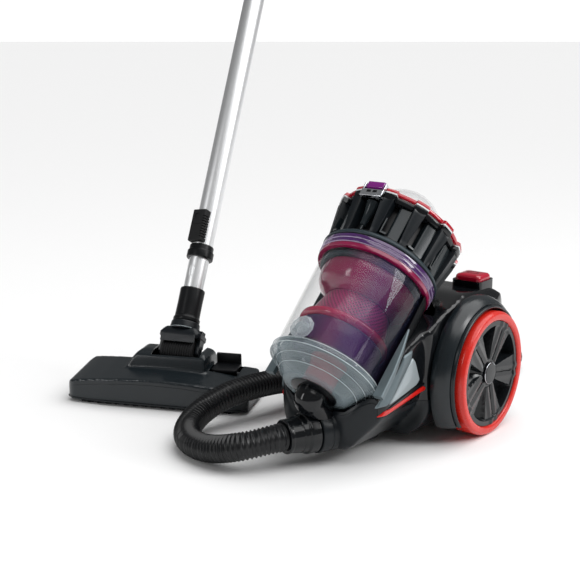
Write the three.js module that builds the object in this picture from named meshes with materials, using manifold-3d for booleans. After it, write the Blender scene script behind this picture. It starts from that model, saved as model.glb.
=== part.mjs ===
// Bagless canister vacuum cleaner, laid out with its hose, its floor head and its telescopic wand.
// Millimetres, +Z up. The canister faces -Y and its left side is +X.
import * as THREE from 'three';
import { mergeVertices } from 'three/addons/utils/BufferGeometryUtils.js';
import Module from 'manifold-3d';

const wasm = await Module();
wasm.setup();

// ---------------------------------------------------------------- driving dimensions

// The plan centre of everything but the hose and its cuff sits at the origin.
const LAYOUT_X = 177.768;
const LAYOUT_Y = -116.122;

const GAP = 0.3;
const WALL = 2.8;
const SPLIT_Z = 70;

const WHEEL_RADIUS = 90;
const WHEEL_FACE_X = 137.5;
const WHEEL_INNER_X = 105;
const HUB_RADIUS = 76.6;
const AXLE_RADIUS = 6;
const HULL_HALF = 96;

// The bin frame: its z runs up the bin's axis from the door ring, its y points down and back.
const BIN_LEAN = THREE.MathUtils.degToRad(47.6);
const BIN_FOOT = new THREE.Vector3(0, -221.7, 124);
const BIN_BASE_RADIUS = 75.3;
const BIN_TOP_RADIUS = 79.5;
const BIN_SHOULDER = 150;
const BIN_TOP = 169;
const FLANGE_RADIUS = 86;
const DOOR_DEPTH = 35;
const CRADLE_INNER = 80.3;
const CRADLE_OUTER = 82.4;
const CROWN_BASE = BIN_TOP + 0.3;
const CROWN_TOP = 239;
const CROWN_RADIUS = 94;
const DOME_RADIUS = 57;
const FIN_COUNT = 12;

// The hose inlet is turned 22 degrees to the canister's right.
const INLET_YAW = THREE.MathUtils.degToRad(22);
const INLET_RIM = new THREE.Vector3(-2, -246, 45);
const NOSE_RADIUS = 30.5;
const CUFF_LENGTH = 46;
const CUFF_SWEEP = 31; // what the cuff and its latch need as they turn
const HOSE_RADIUS = 19;

// The floor head stands beside the canister, turned 23 degrees.
const HEAD_PLACE = new THREE.Vector3(-346, -168, 0);
const HEAD_TURN = THREE.MathUtils.degToRad(23);
const NECK_PIVOT = new THREE.Vector3(18, 17, 73);
const NECK_TURN = THREE.MathUtils.degToRad(-5);
const WAND_LEAN = THREE.MathUtils.degToRad(31.7);
const LOWER_TUBE_RADIUS = 16;
const UPPER_TUBE_RADIUS = 17.5;
const TUBE_START = 64;
const COLLAR_START = 161;
const WAND_TOP = 720;

// ---------------------------------------------------------------- shape helpers

const vec = (x, y, z) => new THREE.Vector3(x, y, z);
const X_AXIS = vec(1, 0, 0);
const Y_AXIS = vec(0, 1, 0);
const Z_AXIS = vec(0, 0, 1);

function solidOf(geometry) {
  const bare = geometry.clone();
  bare.deleteAttribute('normal');
  bare.deleteAttribute('uv');
  const merged = mergeVertices(bare);
  const corners = merged.index.array;
  const kept = [];
  for (let i = 0; i < corners.length; i += 3) {
    const [a, b, c] = corners.slice(i, i + 3);
    if (a !== b && b !== c && c !== a) kept.push(a, b, c);
  }
  const vertProperties = merged.attributes.position.array;
  const triVerts = new Uint32Array(kept);
  return new wasm.Manifold(new wasm.Mesh({ numProp: 3, vertProperties, triVerts }));
}

function geometryOf(solid) {
  const { vertProperties, triVerts } = solid.getMesh();
  const geometry = new THREE.BufferGeometry();
  geometry.setAttribute('position', new THREE.BufferAttribute(vertProperties, 3));
  geometry.setIndex(new THREE.BufferAttribute(triVerts, 1));
  return geometry;
}

function fold(first, rest, act) {
  return geometryOf(rest.reduce((sum, one) => act(sum, solidOf(one)), solidOf(first)));
}

const join = (first, ...rest) => fold(first, rest, (sum, one) => sum.add(one));
const cut = (first, ...rest) => fold(first, rest, (sum, one) => sum.subtract(one));
const common = (first, ...rest) => fold(first, rest, (sum, one) => sum.intersect(one));

function box(x0, x1, y0, y1, z0, z1) {
  const geometry = new THREE.BoxGeometry(x1 - x0, y1 - y0, z1 - z0);
  return geometry.translate((x0 + x1) / 2, (y0 + y1) / 2, (z0 + z1) / 2);
}

function prism(points, depth) {
  const shape = new THREE.Shape(points.map(([x, y]) => new THREE.Vector2(x, y)));
  return new THREE.ExtrudeGeometry(shape, { depth, bevelEnabled: false }).translate(0, 0, -depth / 2);
}

// An outline drawn in Y and Z, as thick as depth along X.
const sidePrism = (points, depth) => prism(points, depth)
  .applyMatrix4(new THREE.Matrix4().makeBasis(Y_AXIS, Z_AXIS, X_AXIS));

// An outline drawn in X and Z, as thick as depth along Y.
const frontPrism = (points, depth) => prism(points, depth)
  .applyMatrix4(new THREE.Matrix4().makeBasis(X_AXIS, Z_AXIS, vec(0, -1, 0)));

// A profile of [radius, height] corners turned about Z. A profile off the axis closes on itself.
function turned(profile, segments = 32) {
  const points = profile.map(([r, h]) => new THREE.Vector2(r, h));
  const onAxis = profile[0][0] === 0 && profile[profile.length - 1][0] === 0;
  if (!onAxis) points.push(points[0].clone());
  return new THREE.LatheGeometry(points, segments).rotateX(Math.PI / 2);
}

function rod(radius, from, to, segments = 18, endRadius = radius) {
  const along = to.clone().sub(from);
  const geometry = new THREE.CylinderGeometry(endRadius, radius, along.length(), segments);
  const turn = new THREE.Quaternion().setFromUnitVectors(Y_AXIS, along.clone().normalize());
  const middle = from.clone().add(to).multiplyScalar(0.5);
  return geometry.applyQuaternion(turn).translate(middle.x, middle.y, middle.z);
}

function ball(radius, centre) {
  return new THREE.SphereGeometry(radius, 10, 6).translate(centre.x, centre.y, centre.z);
}

// An outline's right half, closed with its mirror image.
const mirrorX = (points) => points.concat(points.slice().reverse().map(([x, y]) => [-x, y]));

// Moves every edge of a closed outline inwards by the same distance.
function inset(points, distance) {
  const area = points.reduce((sum, [x, y], i) => {
    const [u, v] = points[(i + 1) % points.length];
    return sum + x * v - u * y;
  }, 0);
  const side = Math.sign(area) * distance;
  const edges = points.map(([x, y], i) => {
    const [u, v] = points[(i + 1) % points.length];
    const length = Math.hypot(u - x, v - y);
    const [dx, dy] = [(u - x) / length, (v - y) / length];
    return { x: x - dy * side, y: y + dx * side, dx, dy };
  });
  return edges.map((edge, i) => {
    const last = edges[(i + edges.length - 1) % edges.length];
    const cross = last.dx * edge.dy - last.dy * edge.dx;
    const t = ((edge.x - last.x) * edge.dy - (edge.y - last.y) * edge.dx) / cross;
    return [last.x + last.dx * t, last.y + last.dy * t];
  });
}

// A round tube along a curve. An arc is drawn with two sides to each curve segment.
function tube(radius, curve, steps, sides = 10) {
  const section = new THREE.Shape();
  section.absarc(0, 0, radius, 0, Math.PI * 2);
  return new THREE.ExtrudeGeometry(section, {
    steps, curveSegments: sides / 2, extrudePath: curve, bevelEnabled: false,
  });
}

function mesh(name, geometry, color, roughness, metalness = 0, opacity = 1) {
  const material = new THREE.MeshStandardMaterial({ color, roughness, metalness, opacity });
  material.transparent = opacity < 1;
  const made = new THREE.Mesh(geometry, material);
  made.name = name;
  return made;
}

// ---------------------------------------------------------------- colours

const GLOSS_BLACK = 0x0c0d0f;
const DARK_GREY = 0x23282c;
const SATIN_BLACK = 0x151719;
const RUBBER_BLACK = 0x111111;
const SILVER_GREY = 0x9aa3a6;
const SIGNAL_RED = 0xe03022;
const WINE = 0x8c1a4a;
const PURPLE = 0x4a1458;
const CLEAR = 0xe8eef0;
const STEEL = 0xb8bcc0;

// ---------------------------------------------------------------- places on the leaning bin

const BIN_AXIS = vec(0, Math.sin(BIN_LEAN), Math.cos(BIN_LEAN));
const BIN_DOWN = vec(0, Math.cos(BIN_LEAN), -Math.sin(BIN_LEAN));
const onBin = (s, down = 0, x = 0) => BIN_FOOT.clone()
  .addScaledVector(BIN_AXIS, s).addScaledVector(BIN_DOWN, down).add(vec(x, 0, 0));

// ---------------------------------------------------------------- canister body

const HULL_SIDE = [
  [-238, 62], [-232, 20], [-205, 12], [142, 12], [160, 34], [160, 118], [150, 138],
  [124, 166], [104, 186], [88, 193], [14, 197], [-70, 181], [-164, 153], [-226, 97],
];
const FRONT_SECTION = mirrorX([
  [26, 12], [48, 26], [82, 66], [88, 100], [90, 150], [82, 188], [66, 203],
]);
const REAR_SECTION = mirrorX([[60, 12], [84, 30], [96, 58], [96, 160], [88, 186], [70, 203]]);
const FRONT_PLAN = mirrorX([
  [34, -240], [62, -230], [83, -208], [90, -180], [94, -140], [96, -100], [96, 20],
]);
const REAR_PLAN = mirrorX([[92, -112], [96, -98], [96, 70], [88, 115], [68, 148], [52, 160]]);

// The whole outer form of the body, with every face moved inwards by depth.
function hull(depth) {
  const side = sidePrism(inset(HULL_SIDE, depth), 300);
  const frontFace = frontPrism(inset(FRONT_SECTION, depth), 800);
  const rearFace = frontPrism(inset(REAR_SECTION, depth), 800);
  const front = common(side, frontFace, prism(inset(FRONT_PLAN, depth), 600));
  const rear = common(side, rearFace, prism(inset(REAR_PLAN, depth), 600));
  return join(front, rear);
}

// Room for the bin: its own cylinder, then the wider crown above it.
const binRoom = () => join(
  rod(CRADLE_OUTER + GAP, onBin(-40), onBin(151), 40),
  rod(CROWN_RADIUS + 4, onBin(150.4), onBin(340), 36),
);

const inletAxis = vec(-Math.sin(INLET_YAW), -Math.cos(INLET_YAW), 0);
const alongInlet = (distance) => INLET_RIM.clone().addScaledVector(inletAxis, distance);
const DUCT_ELBOW = onBin(-46);
const DUCT_HEEL = vec(4, -226, 50);

function ductForm(grow) {
  return join(
    rod(NOSE_RADIUS + grow, alongInlet(grow), alongInlet(-62 - grow)),
    rod(22 + grow, onBin(-35.4 + grow), DUCT_ELBOW),
    ball(22 + grow, DUCT_ELBOW),
    rod(21 + grow, DUCT_ELBOW, DUCT_HEEL),
  );
}

// Room for the cuff and its latch to turn.
const cuffRoom = () => rod(CUFF_SWEEP, alongInlet(0), alongInlet(60));

const CASTER_Y = -145;
const CASTER_ROOF = 40;
const axleHoles = () => rod(AXLE_RADIUS + GAP, vec(-120, 0, WHEEL_RADIUS), vec(120, 0, WHEEL_RADIUS));
const GRILLE = { halfWidth: 48, bottom: 44, top: 116 };

function chassis() {
  const shell = cut(hull(0), hull(WALL));
  const lower = common(shell, box(-200, 200, -400, 400, 0, SPLIT_Z));
  const well = rod(31, vec(0, CASTER_Y, 12), vec(0, CASTER_Y, CASTER_ROOF));
  const wellRoom = rod(28, vec(0, CASTER_Y, 5), vec(0, CASTER_Y, CASTER_ROOF - 4));
  const pinHole = rod(4.4, vec(0, CASTER_Y, 20), vec(0, CASTER_Y, 60));
  const vent = box(-GRILLE.halfWidth, GRILLE.halfWidth, 150, 170, GRILLE.bottom, SPLIT_Z + 10);
  return cut(join(lower, well), wellRoom, pinHole, binRoom(), ductForm(GAP), cuffRoom(), vent);
}

const PEDAL_X = 55;
const PEDAL_Y = 80;
const PEDAL_FOOT = 197; // the underside of the pedals
const PEDAL_HALF = { x: 21, y: 19 };

function pedalBase(side) {
  const x = side * PEDAL_X;
  return box(x - PEDAL_HALF.x - 2.6, x + PEDAL_HALF.x + 2.6,
    PEDAL_Y - PEDAL_HALF.y - 2.6, PEDAL_Y + PEDAL_HALF.y + 2.6, 176, PEDAL_FOOT + 7);
}

function pedalPocket(side) {
  const x = side * PEDAL_X;
  return box(x - PEDAL_HALF.x - 0.4, x + PEDAL_HALF.x + 0.4,
    PEDAL_Y - PEDAL_HALF.y - 0.4, PEDAL_Y + PEDAL_HALF.y + 0.4, PEDAL_FOOT - 6, 230);
}

function upperHousing() {
  const shell = cut(hull(0), hull(WALL));
  const upper = common(shell, box(-200, 200, -210, 400, SPLIT_Z + GAP, 300));
  const vent = box(-GRILLE.halfWidth, GRILLE.halfWidth, 150, 170, SPLIT_Z - 10, GRILLE.top);
  const based = join(upper, pedalBase(1), pedalBase(-1));
  return cut(based, pedalPocket(1), pedalPocket(-1), binRoom(), axleHoles(), vent);
}

function binCradle() {
  const trough = cut(
    rod(CRADLE_OUTER, onBin(-39.7), onBin(150), 40),
    rod(CRADLE_INNER, onBin(-37.2), onBin(200), 40),
  );
  const lowerHalf = prism([[-200, 14], [200, 14], [200, 200], [-200, 200]], 600)
    .rotateX(-BIN_LEAN).translate(BIN_FOOT.x, BIN_FOOT.y, BIN_FOOT.z);
  return cut(common(trough, lowerHalf), ductForm(GAP));
}

// Room for the door at the foot of the bin.
const doorRoom = () => turned([
  [0, -DOOR_DEPTH - GAP], [46.4, -DOOR_DEPTH - GAP], [72.6, -9], [79, -7], [79, 30], [0, 30],
], 26).rotateX(-BIN_LEAN).translate(BIN_FOOT.x, BIN_FOOT.y, BIN_FOOT.z);

function noseDuct() {
  const bores = [
    rod(20.8, alongInlet(5), alongInlet(-54)),
    rod(15, onBin(-30), DUCT_ELBOW),
    ball(15, DUCT_ELBOW),
    rod(15, DUCT_ELBOW, DUCT_HEEL),
  ];
  return cut(ductForm(0), ...bores, cuffRoom(), doorRoom());
}

// The patch of the hull's skin under a side outline, from low to high above the surface.
function skinPatch(outline, side, low, high) {
  const patch = sidePrism(outline, 60).translate(side * 90, 0, 0);
  return common(cut(hull(-high), hull(-low)), patch);
}

const TRIM_OUTLINE = [[-214, 88], [-198, 112], [-165, 146], [-146, 150], [-124, 103], [-130, 98]];
const STRIPE_OUTLINE = [[-214, 72], [-204, 79], [-112, 91], [-112, 83.5]];

function bodyMeshes() {
  const meshes = [
    mesh('chassis', chassis(), DARK_GREY, 0.45),
    mesh('upper_housing', upperHousing(), GLOSS_BLACK, 0.18),
    mesh('bin_cradle', binCradle(), SATIN_BLACK, 0.4),
    mesh('inlet_duct', noseDuct(), GLOSS_BLACK, 0.25),
  ];
  for (const [name, side] of [['left', 1], ['right', -1]]) {
    meshes.push(mesh(`${name}_side_trim`, skinPatch(TRIM_OUTLINE, side, GAP, 2.2), SILVER_GREY, 0.35, 0.3));
    meshes.push(mesh(`${name}_red_stripe`, skinPatch(STRIPE_OUTLINE, side, GAP, 2.8), SIGNAL_RED, 0.3));
  }
  return meshes;
}

// ---------------------------------------------------------------- wheels and fenders

// A piece turned about X at the wheel centre of one side; the profile is [radius, distance from the middle].
function wheelPiece(profile, side, segments = 32) {
  const geometry = turned(profile, segments);
  return geometry.rotateY(side * Math.PI / 2).translate(0, 0, WHEEL_RADIUS);
}

function fender(side) {
  const inner = WHEEL_RADIUS + 3;
  const ring = wheelPiece([
    [inner, HULL_HALF + GAP], [109, HULL_HALF + GAP], [107, 108], [100, 121], [97, 127], [inner, 127],
  ], side, 36);
  return common(ring, box(-200, 200, -200, 200, 27, 300));
}

function tyre(side) {
  return wheelPiece([
    [HUB_RADIUS + 0.4, WHEEL_INNER_X], [WHEEL_RADIUS - 2, WHEEL_INNER_X], [WHEEL_RADIUS, WHEEL_INNER_X + 2],
    [WHEEL_RADIUS, WHEEL_FACE_X - 5], [WHEEL_RADIUS - 3, WHEEL_FACE_X],
    [HUB_RADIUS + 0.4, WHEEL_FACE_X - 1.5],
  ], side);
}

const HUB_TURN = 27; // where the first hub window stands, from straight back

function hub(side) {
  const dish = wheelPiece([
    [0, 106], [HUB_RADIUS, 106], [HUB_RADIUS, 134], [HUB_RADIUS - 4, 134], [16, 128], [14, 133], [0, 133],
  ], side);
  const windows = [];
  for (let i = 0; i < 5; i += 1) {
    const window = prism([[-3, 24], [3, 24], [17, 64], [0, 68], [-17, 64]], 60);
    const turn = THREE.MathUtils.degToRad(HUB_TURN + 72 * i);
    windows.push(window.rotateZ(turn).rotateY(Math.PI / 2).translate(side * 145, 0, WHEEL_RADIUS));
  }
  const bore = rod(AXLE_RADIUS + GAP, vec(side * 90, 0, WHEEL_RADIUS), vec(side * 124.5, 0, WHEEL_RADIUS));
  return cut(dish, ...windows, bore);
}

function wheelMeshes() {
  const meshes = [];
  for (const [name, side] of [['left', 1], ['right', -1]]) {
    const axle = rod(AXLE_RADIUS, vec(side * 84, 0, WHEEL_RADIUS), vec(side * 124, 0, WHEEL_RADIUS), 20);
    meshes.push(mesh(`${name}_fender`, fender(side), DARK_GREY, 0.3));
    meshes.push(mesh(`${name}_tyre`, tyre(side), SIGNAL_RED, 0.4));
    meshes.push(mesh(`${name}_wheel_hub`, hub(side), GLOSS_BLACK, 0.25));
    meshes.push(mesh(`${name}_axle`, axle, STEEL, 0.3, 1));
  }
  return meshes;
}

function casterMeshes() {
  const wheelCentre = vec(0, CASTER_Y + 7, 13);
  const fork = join(
    rod(25, vec(0, CASTER_Y, 31), vec(0, CASTER_Y, 35.5)),
    rod(4, vec(0, CASTER_Y, 34), vec(0, CASTER_Y, 46), 16),
    box(-11, -8.4, CASTER_Y - 2, CASTER_Y + 14, 8, 32),
    box(8.4, 11, CASTER_Y - 2, CASTER_Y + 14, 8, 32),
    rod(2.2, vec(-10, wheelCentre.y, 13), vec(10, wheelCentre.y, 13), 12),
  );
  const wheel = cut(
    rod(13, vec(-8, wheelCentre.y, 13), vec(8, wheelCentre.y, 13), 22),
    rod(2.6, vec(-20, wheelCentre.y, 13), vec(20, wheelCentre.y, 13), 12),
  );
  return [mesh('caster_fork', fork, SATIN_BLACK, 0.5), mesh('caster_wheel', wheel, RUBBER_BLACK, 0.7)];
}

// ---------------------------------------------------------------- inside the body

const MOTOR_Z = 82;

function motorMeshes() {
  const at = (y) => vec(0, y, MOTOR_Z);
  const motor = cut(
    join(rod(50, at(-12), at(30), 26), rod(42, at(30), at(66), 26), rod(12, at(66), at(74), 20)),
    rod(30, at(-14), at(-6), 24),
  );
  const blades = [rod(12, at(-36), at(-14.6), 20)];
  for (let i = 0; i < 8; i += 1) {
    const blade = box(4, 46, -30, -16, -1, 1).rotateY(i * Math.PI / 4).translate(0, 0, MOTOR_Z);
    blades.push(blade);
  }
  const fan = join(rod(47, at(-17), at(-14.6), 26), ...blades);
  const board = box(52, 86, 20, 66, 142, 146);
  return [
    mesh('motor', motor, STEEL, 0.4, 0.8),
    mesh('fan_impeller', fan, STEEL, 0.5, 0.5),
    mesh('control_board', board, 0x1d5c36, 0.6),
  ];
}

const REEL_Z = 86;

function reelMesh() {
  const at = (y) => vec(0, y, REEL_Z);
  const drum = join(rod(26, at(88), at(124), 22), rod(56, at(86), at(89), 36), rod(56, at(121), at(124), 36));
  return mesh('cord_reel', cut(drum, rod(6, at(80), at(130), 16)), SATIN_BLACK, 0.5);
}

function exhaustMeshes() {
  const { halfWidth, bottom, top } = GRILLE;
  const slots = [];
  for (let i = 0; i < 7; i += 1) {
    const z = bottom + 7 + i * 9;
    slots.push(box(-halfWidth + 7, halfWidth - 7, 140, 170, z, z + 4));
  }
  const plate = box(-halfWidth + GAP, halfWidth - GAP, 155, 160, bottom + GAP, top - GAP);
  const grille = cut(plate, ...slots);
  const filter = box(-halfWidth + 1, halfWidth - 1, 134, 152, bottom + 2, top - 2);
  return [mesh('exhaust_grille', grille, DARK_GREY, 0.5), mesh('exhaust_filter', filter, 0xe6e4dc, 0.9)];
}

function pedal(side) {
  const top = box(-PEDAL_HALF.x, PEDAL_HALF.x, -PEDAL_HALF.y, PEDAL_HALF.y, PEDAL_FOOT, PEDAL_FOOT + 11);
  const outline = mirrorX([[10, -19], [18, -16], [21, -8], [21, 8], [18, 16], [10, 19]]);
  const crown = prism(outline, 6).translate(0, 0, PEDAL_FOOT + 13.5);
  return join(top, crown).translate(side * PEDAL_X, PEDAL_Y, 0);
}

// ---------------------------------------------------------------- the bin and its cyclone

function binBody() {
  return turned([
    [73, 0.4], [BIN_BASE_RADIUS, 0.4], [BIN_TOP_RADIUS, BIN_SHOULDER], [FLANGE_RADIUS, BIN_SHOULDER + 4],
    [FLANGE_RADIUS, BIN_TOP], [77.5, BIN_TOP],
  ], 26);
}

const hingeLine = (radius, half) => rod(radius, vec(-half, 76, -3.5), vec(half, 76, -3.5), 10);

function binDoor() {
  const bowl = turned([
    [23.2, -DOOR_DEPTH], [46, -DOOR_DEPTH], [72, -9], [78.5, -7], [78.5, 0], [73.5, 0], [70, -4.5],
    [44.5, -DOOR_DEPTH + 3], [23.2, -DOOR_DEPTH + 3],
  ], 24);
  return cut(bowl, hingeLine(2.1, 11.3));
}

function doorLatchKnob() {
  const knob = turned([[0, 0], [15, 0], [17, 3], [17, 8], [13, 12], [0, 12]], 16);
  return knob.rotateX(Math.PI / 2).translate(0, -82, 10);
}

const sealRing = () => turned([[70, 139], [76, 139], [76, 147], [70, 147]], 24);

function cycloneCone() {
  return turned([[46, 112], [60, 114], [67, 121], [69, 128], [69.5, 138], [65, 138.4], [46, 138.4]], 24);
}

function shroud() {
  return turned([[41, 63.4], [53, 63.4], [47, 90], [45.7, 111.6], [41, 111.6]], 24);
}

const skirtRing = () => turned([[30, 50.4], [62, 50.4], [66, 54], [66, 60], [58, 63], [30, 63]], 24);
const dustCollector = () => turned([[27, 12], [58, 16], [61, 50], [56, 50], [54, 20], [27, 16]], 24);
const centralTube = () => turned([
  [18, -34.6], [22.8, -34.6], [22.8, 0], [26.4, 8], [26.4, 50], [22, 50], [22, 8], [18, 0],
], 24);

const lidNotch = () => box(-18, 18, -120, -78.5, 226, 260);

function cycloneCrown() {
  const core = turned([
    [52, CROWN_BASE], [85, CROWN_BASE], [85, CROWN_BASE + 10], [81, CROWN_BASE + 14], [72, CROWN_BASE + 18],
    [74, 228], [CROWN_RADIUS - 3, 231], [CROWN_RADIUS, CROWN_TOP], [52, CROWN_TOP],
  ], 24);
  const fins = [];
  for (let i = 0; i < FIN_COUNT; i += 1) {
    const fin = sidePrism([[68, 180], [84, 180], [92, 232], [68, 232]], 8);
    const cone = rod(5, vec(0, 76, 182), vec(0, 80, 231), 6, 9);
    const turn = (i + 0.5) * Math.PI * 2 / FIN_COUNT;
    fins.push(fin.rotateZ(turn), cone.rotateZ(turn + Math.PI / FIN_COUNT));
  }
  return cut(join(core, ...fins), lidNotch());
}

function crownRim() {
  const ring = turned([
    [62, CROWN_TOP + GAP], [CROWN_RADIUS, CROWN_TOP + GAP], [CROWN_RADIUS + 1, CROWN_TOP + 4],
    [CROWN_RADIUS - 4, CROWN_TOP + 7], [62, CROWN_TOP + 7],
  ], 26);
  return cut(ring, lidNotch());
}

function lidButtonFrame() {
  const block = box(-17.6, 17.6, -98, -79, 226.4, 250);
  return cut(block, box(-14.5, 14.5, -100, -82, 238, 260));
}

const lidButton = () => box(-14.1, 14.1, -97.5, -82.4, 241.5, 252);

function domeLid() {
  const base = CROWN_TOP + 7.4;
  const arc = (radius, from, to) => {
    const points = [];
    for (let i = 0; i <= 4; i += 1) {
      const angle = from + (to - from) * i / 4;
      points.push([radius * Math.cos(angle), base + 1 + radius * Math.sin(angle)]);
    }
    return points;
  };
  const outer = arc(DOME_RADIUS, 0.06, Math.PI / 2);
  const inner = arc(DOME_RADIUS - 2.4, Math.PI / 2, 0.06);
  outer[4][0] = 0;
  inner[0][0] = 0;
  const lug = box(-9, 9, 60, 68, base, base + 5);
  const shell = turned([...outer.slice().reverse(), [61, base + 4], [61, base], [DOME_RADIUS - 2.4, base],
    ...inner.slice().reverse()].reverse(), 22);
  return join(shell, lug);
}

const pleatedFilter = () => turned([
  [0, CROWN_TOP + 0.4], [52, CROWN_TOP + 0.4], [52, 252], [44, 258], [0, 258],
], 24);

function binGroup() {
  const group = new THREE.Group();
  group.position.copy(BIN_FOOT);
  group.rotation.x = -BIN_LEAN;
  group.add(
    mesh('bin_body', binBody(), CLEAR, 0.06, 0, 0.3),
    mesh('bin_door', binDoor(), CLEAR, 0.1, 0, 0.35),
    mesh('door_latch_knob', doorLatchKnob(), CLEAR, 0.08, 0, 0.5),
    mesh('door_hinge_pin', hingeLine(1.8, 11), STEEL, 0.3, 1),
    mesh('bin_seal_ring', sealRing(), DARK_GREY, 0.5),
    mesh('cyclone_cone', cycloneCone(), WINE, 0.25),
    mesh('cyclone_shroud', shroud(), WINE, 0.4),
    mesh('cyclone_skirt', skirtRing(), 0xb02050, 0.3),
    mesh('dust_collector', dustCollector(), PURPLE, 0.3),
    mesh('inlet_riser', centralTube(), 0xb01830, 0.3),
    mesh('cyclone_crown', cycloneCrown(), GLOSS_BLACK, 0.2),
    mesh('crown_rim', crownRim(), 0xd02030, 0.2),
    mesh('lid_button_frame', lidButtonFrame(), 0xd8dadc, 0.15, 1),
    mesh('lid_button', lidButton(), 0x8a2a86, 0.25),
    mesh('dome_lid', domeLid(), CLEAR, 0.05, 0, 0.3),
    mesh('premotor_filter', pleatedFilter(), 0xf0f0ee, 0.9),
  );
  return group;
}

// ---------------------------------------------------------------- hose, cuff and handle

const cuffSide = vec(Math.cos(INLET_YAW), -Math.sin(INLET_YAW), 0);
const LATCH_ANGLE = THREE.MathUtils.degToRad(35);
const latchAxis = cuffSide.clone().multiplyScalar(Math.cos(LATCH_ANGLE))
  .addScaledVector(Z_AXIS, Math.sin(LATCH_ANGLE));

// A box standing on the cuff's surface: from near to far along the inlet, and from low to high outwards.
function onCuff(near, far, low, high, halfWidth) {
  const across = new THREE.Vector3().crossVectors(latchAxis, inletAxis);
  const frame = new THREE.Matrix4().makeBasis(inletAxis, latchAxis, across.negate());
  frame.setPosition(INLET_RIM);
  return box(near, far, low, high, -halfWidth, halfWidth).applyMatrix4(frame);
}

function hoseCuff() {
  const body = join(
    rod(20.4, alongInlet(-18), alongInlet(2), 22),
    rod(28.5, alongInlet(0.5), alongInlet(18), 26),
    rod(25.5, alongInlet(17), alongInlet(32), 22),
    rod(23, alongInlet(31), alongInlet(CUFF_LENGTH), 20),
  );
  return cut(body, rod(17, alongInlet(-30), alongInlet(80), 24), onCuff(3, 15, 23.6, 34, 6));
}

const HOSE_ROUTE = [
  vec(-19.6, -289, 45), vec(-25, -303, 44), vec(-54, -332, 37), vec(-104, -338, 24),
  vec(-150, -326, 20), vec(-182, -298, 22), vec(-196, -255, 32), vec(-188, -205, 46),
  vec(-172, -140, 50), vec(-163, -80, 44), vec(-165, -10, 32), vec(-172, 50, 22),
  vec(-163, 115, 20), vec(-138, 175, 20), vec(-78, 200, 20), vec(-2, 222, 20),
  vec(20, 275, 20), vec(-2, 328, 20), vec(-55, 350, 20), vec(-140, 350, 20),
  vec(-220, 350, 20), vec(-300, 350, 20), vec(-353, 372, 20), vec(-375, 425, 20),
  vec(-353, 478, 20), vec(-320, 500, 20), vec(-300, 500, 20),
];

function hoseMeshes() {
  const route = HOSE_ROUTE.slice();
  route[0] = alongInlet(CUFF_LENGTH + GAP);
  route[1] = alongInlet(CUFF_LENGTH + 14);
  const curve = new THREE.CatmullRomCurve3(route, false, 'centripetal');
  const latch = onCuff(3.3, 14.7, 25.5, 29.6, 5.7);
  const end = route[route.length - 1];
  const grip = new THREE.CatmullRomCurve3([
    end.clone().add(vec(30, 0, 0)), end.clone().add(vec(90, -4, 0)),
    end.clone().add(vec(150, -26, 0)), end.clone().add(vec(215, -70, 0)),
  ]);
  const handle = join(
    rod(19.8, end.clone().add(vec(0.6, 0, 0)), end.clone().add(vec(36, 0, 0)), 20),
    tube(17.5, grip, 10, 12),
    rod(19.6, end.clone().add(vec(192, -54, 0)), end.clone().add(vec(216, -71, 0)), 24),
  );
  const slider = box(-8, 8, -7, 7, 0, 4).rotateZ(-0.1).translate(end.x + 74, end.y - 2, 38);
  return [
    mesh('hose', tube(HOSE_RADIUS, curve, 50, 8), SATIN_BLACK, 0.4),
    mesh('hose_cuff', hoseCuff(), GLOSS_BLACK, 0.3),
    mesh('cuff_latch', latch, GLOSS_BLACK, 0.3),
    mesh('hose_handle', handle, SATIN_BLACK, 0.4),
    mesh('suction_slider', slider, DARK_GREY, 0.4),
  ];
}

// ---------------------------------------------------------------- floor head

const HEAD_SIDE = [[-60, 6], [-60, 50], [-16, 56], [26, 56], [46, 46], [58, 30], [58, 6]];
const HEAD_PLAN = mirrorX([[80, -60], [136, -54], [147, -44], [147, 30], [136, 52], [90, 58]]);
const HEAD_ARCH = mirrorX([[147, -40], [147, 31], [126, 37], [90, 42], [48, 45.5], [12, 46.5]]);
const ARCH_RISE = 0.12;
const HUMP_SIDE = [[-14, 30], [-14, 54], [-8, 72], [6, 78], [36, 78], [53, 60], [56, 30]];
const HUMP_FRONT = [[-66, 30], [-60, 56], [-46, 74], [-38, 78], [60, 78], [68, 72], [69, 56], [69, 30]];

// The top of the head is an arch across that rises from the front lip towards the back.
function archForm(depth) {
  const arch = frontPrism(inset(HEAD_ARCH, depth), 300);
  const rise = new THREE.Matrix4().set(1, 0, 0, 0, 0, 1, 0, 0, 0, ARCH_RISE, 1, ARCH_RISE * 60, 0, 0, 0, 1);
  return arch.applyMatrix4(rise);
}

function headForm(depth) {
  const low = common(
    sidePrism(inset(HEAD_SIDE, depth), 400),
    prism(inset(HEAD_PLAN, depth), 300),
    archForm(depth),
  );
  const hump = common(sidePrism(inset(HUMP_SIDE, depth), 400), frontPrism(inset(HUMP_FRONT, depth), 300));
  return join(low, hump);
}

function headShell() {
  const shell = common(cut(headForm(0), headForm(2.6)), box(-200, 200, -100, 100, 8.8, 100));
  const neckRoom = box(-22, 58, -6, 70, 46, 110);
  const pedalRoom = box(71, 117, -2, 42, 34, 90);
  return cut(shell, neckRoom, pedalRoom);
}

function headSole() {
  const plate = common(headForm(0), box(-200, 200, -100, 100, 6, 8.5));
  const slot = box(-120, 120, -30, -12, 0, 20);
  const brushSlots = [box(-124, 124, -51.5, -44.5, 0, 20), box(-124, 124, 45.5, 51.5, 0, 20)];
  const rollerRooms = [box(-78, -58, 22, 42, 0, 20), box(58, 78, 22, 42, 0, 20)];
  return cut(plate, slot, ...brushSlots, ...rollerRooms);
}

function brushStrip() {
  return join(
    box(-122, 122, -50.5, -45.5, 0.3, 13), box(-122, 122, 46.5, 50.5, 0.3, 13),
    box(-122, -117, -48, 49, 10, 13), box(117, 122, -48, 49, 10, 13),
  );
}

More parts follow.
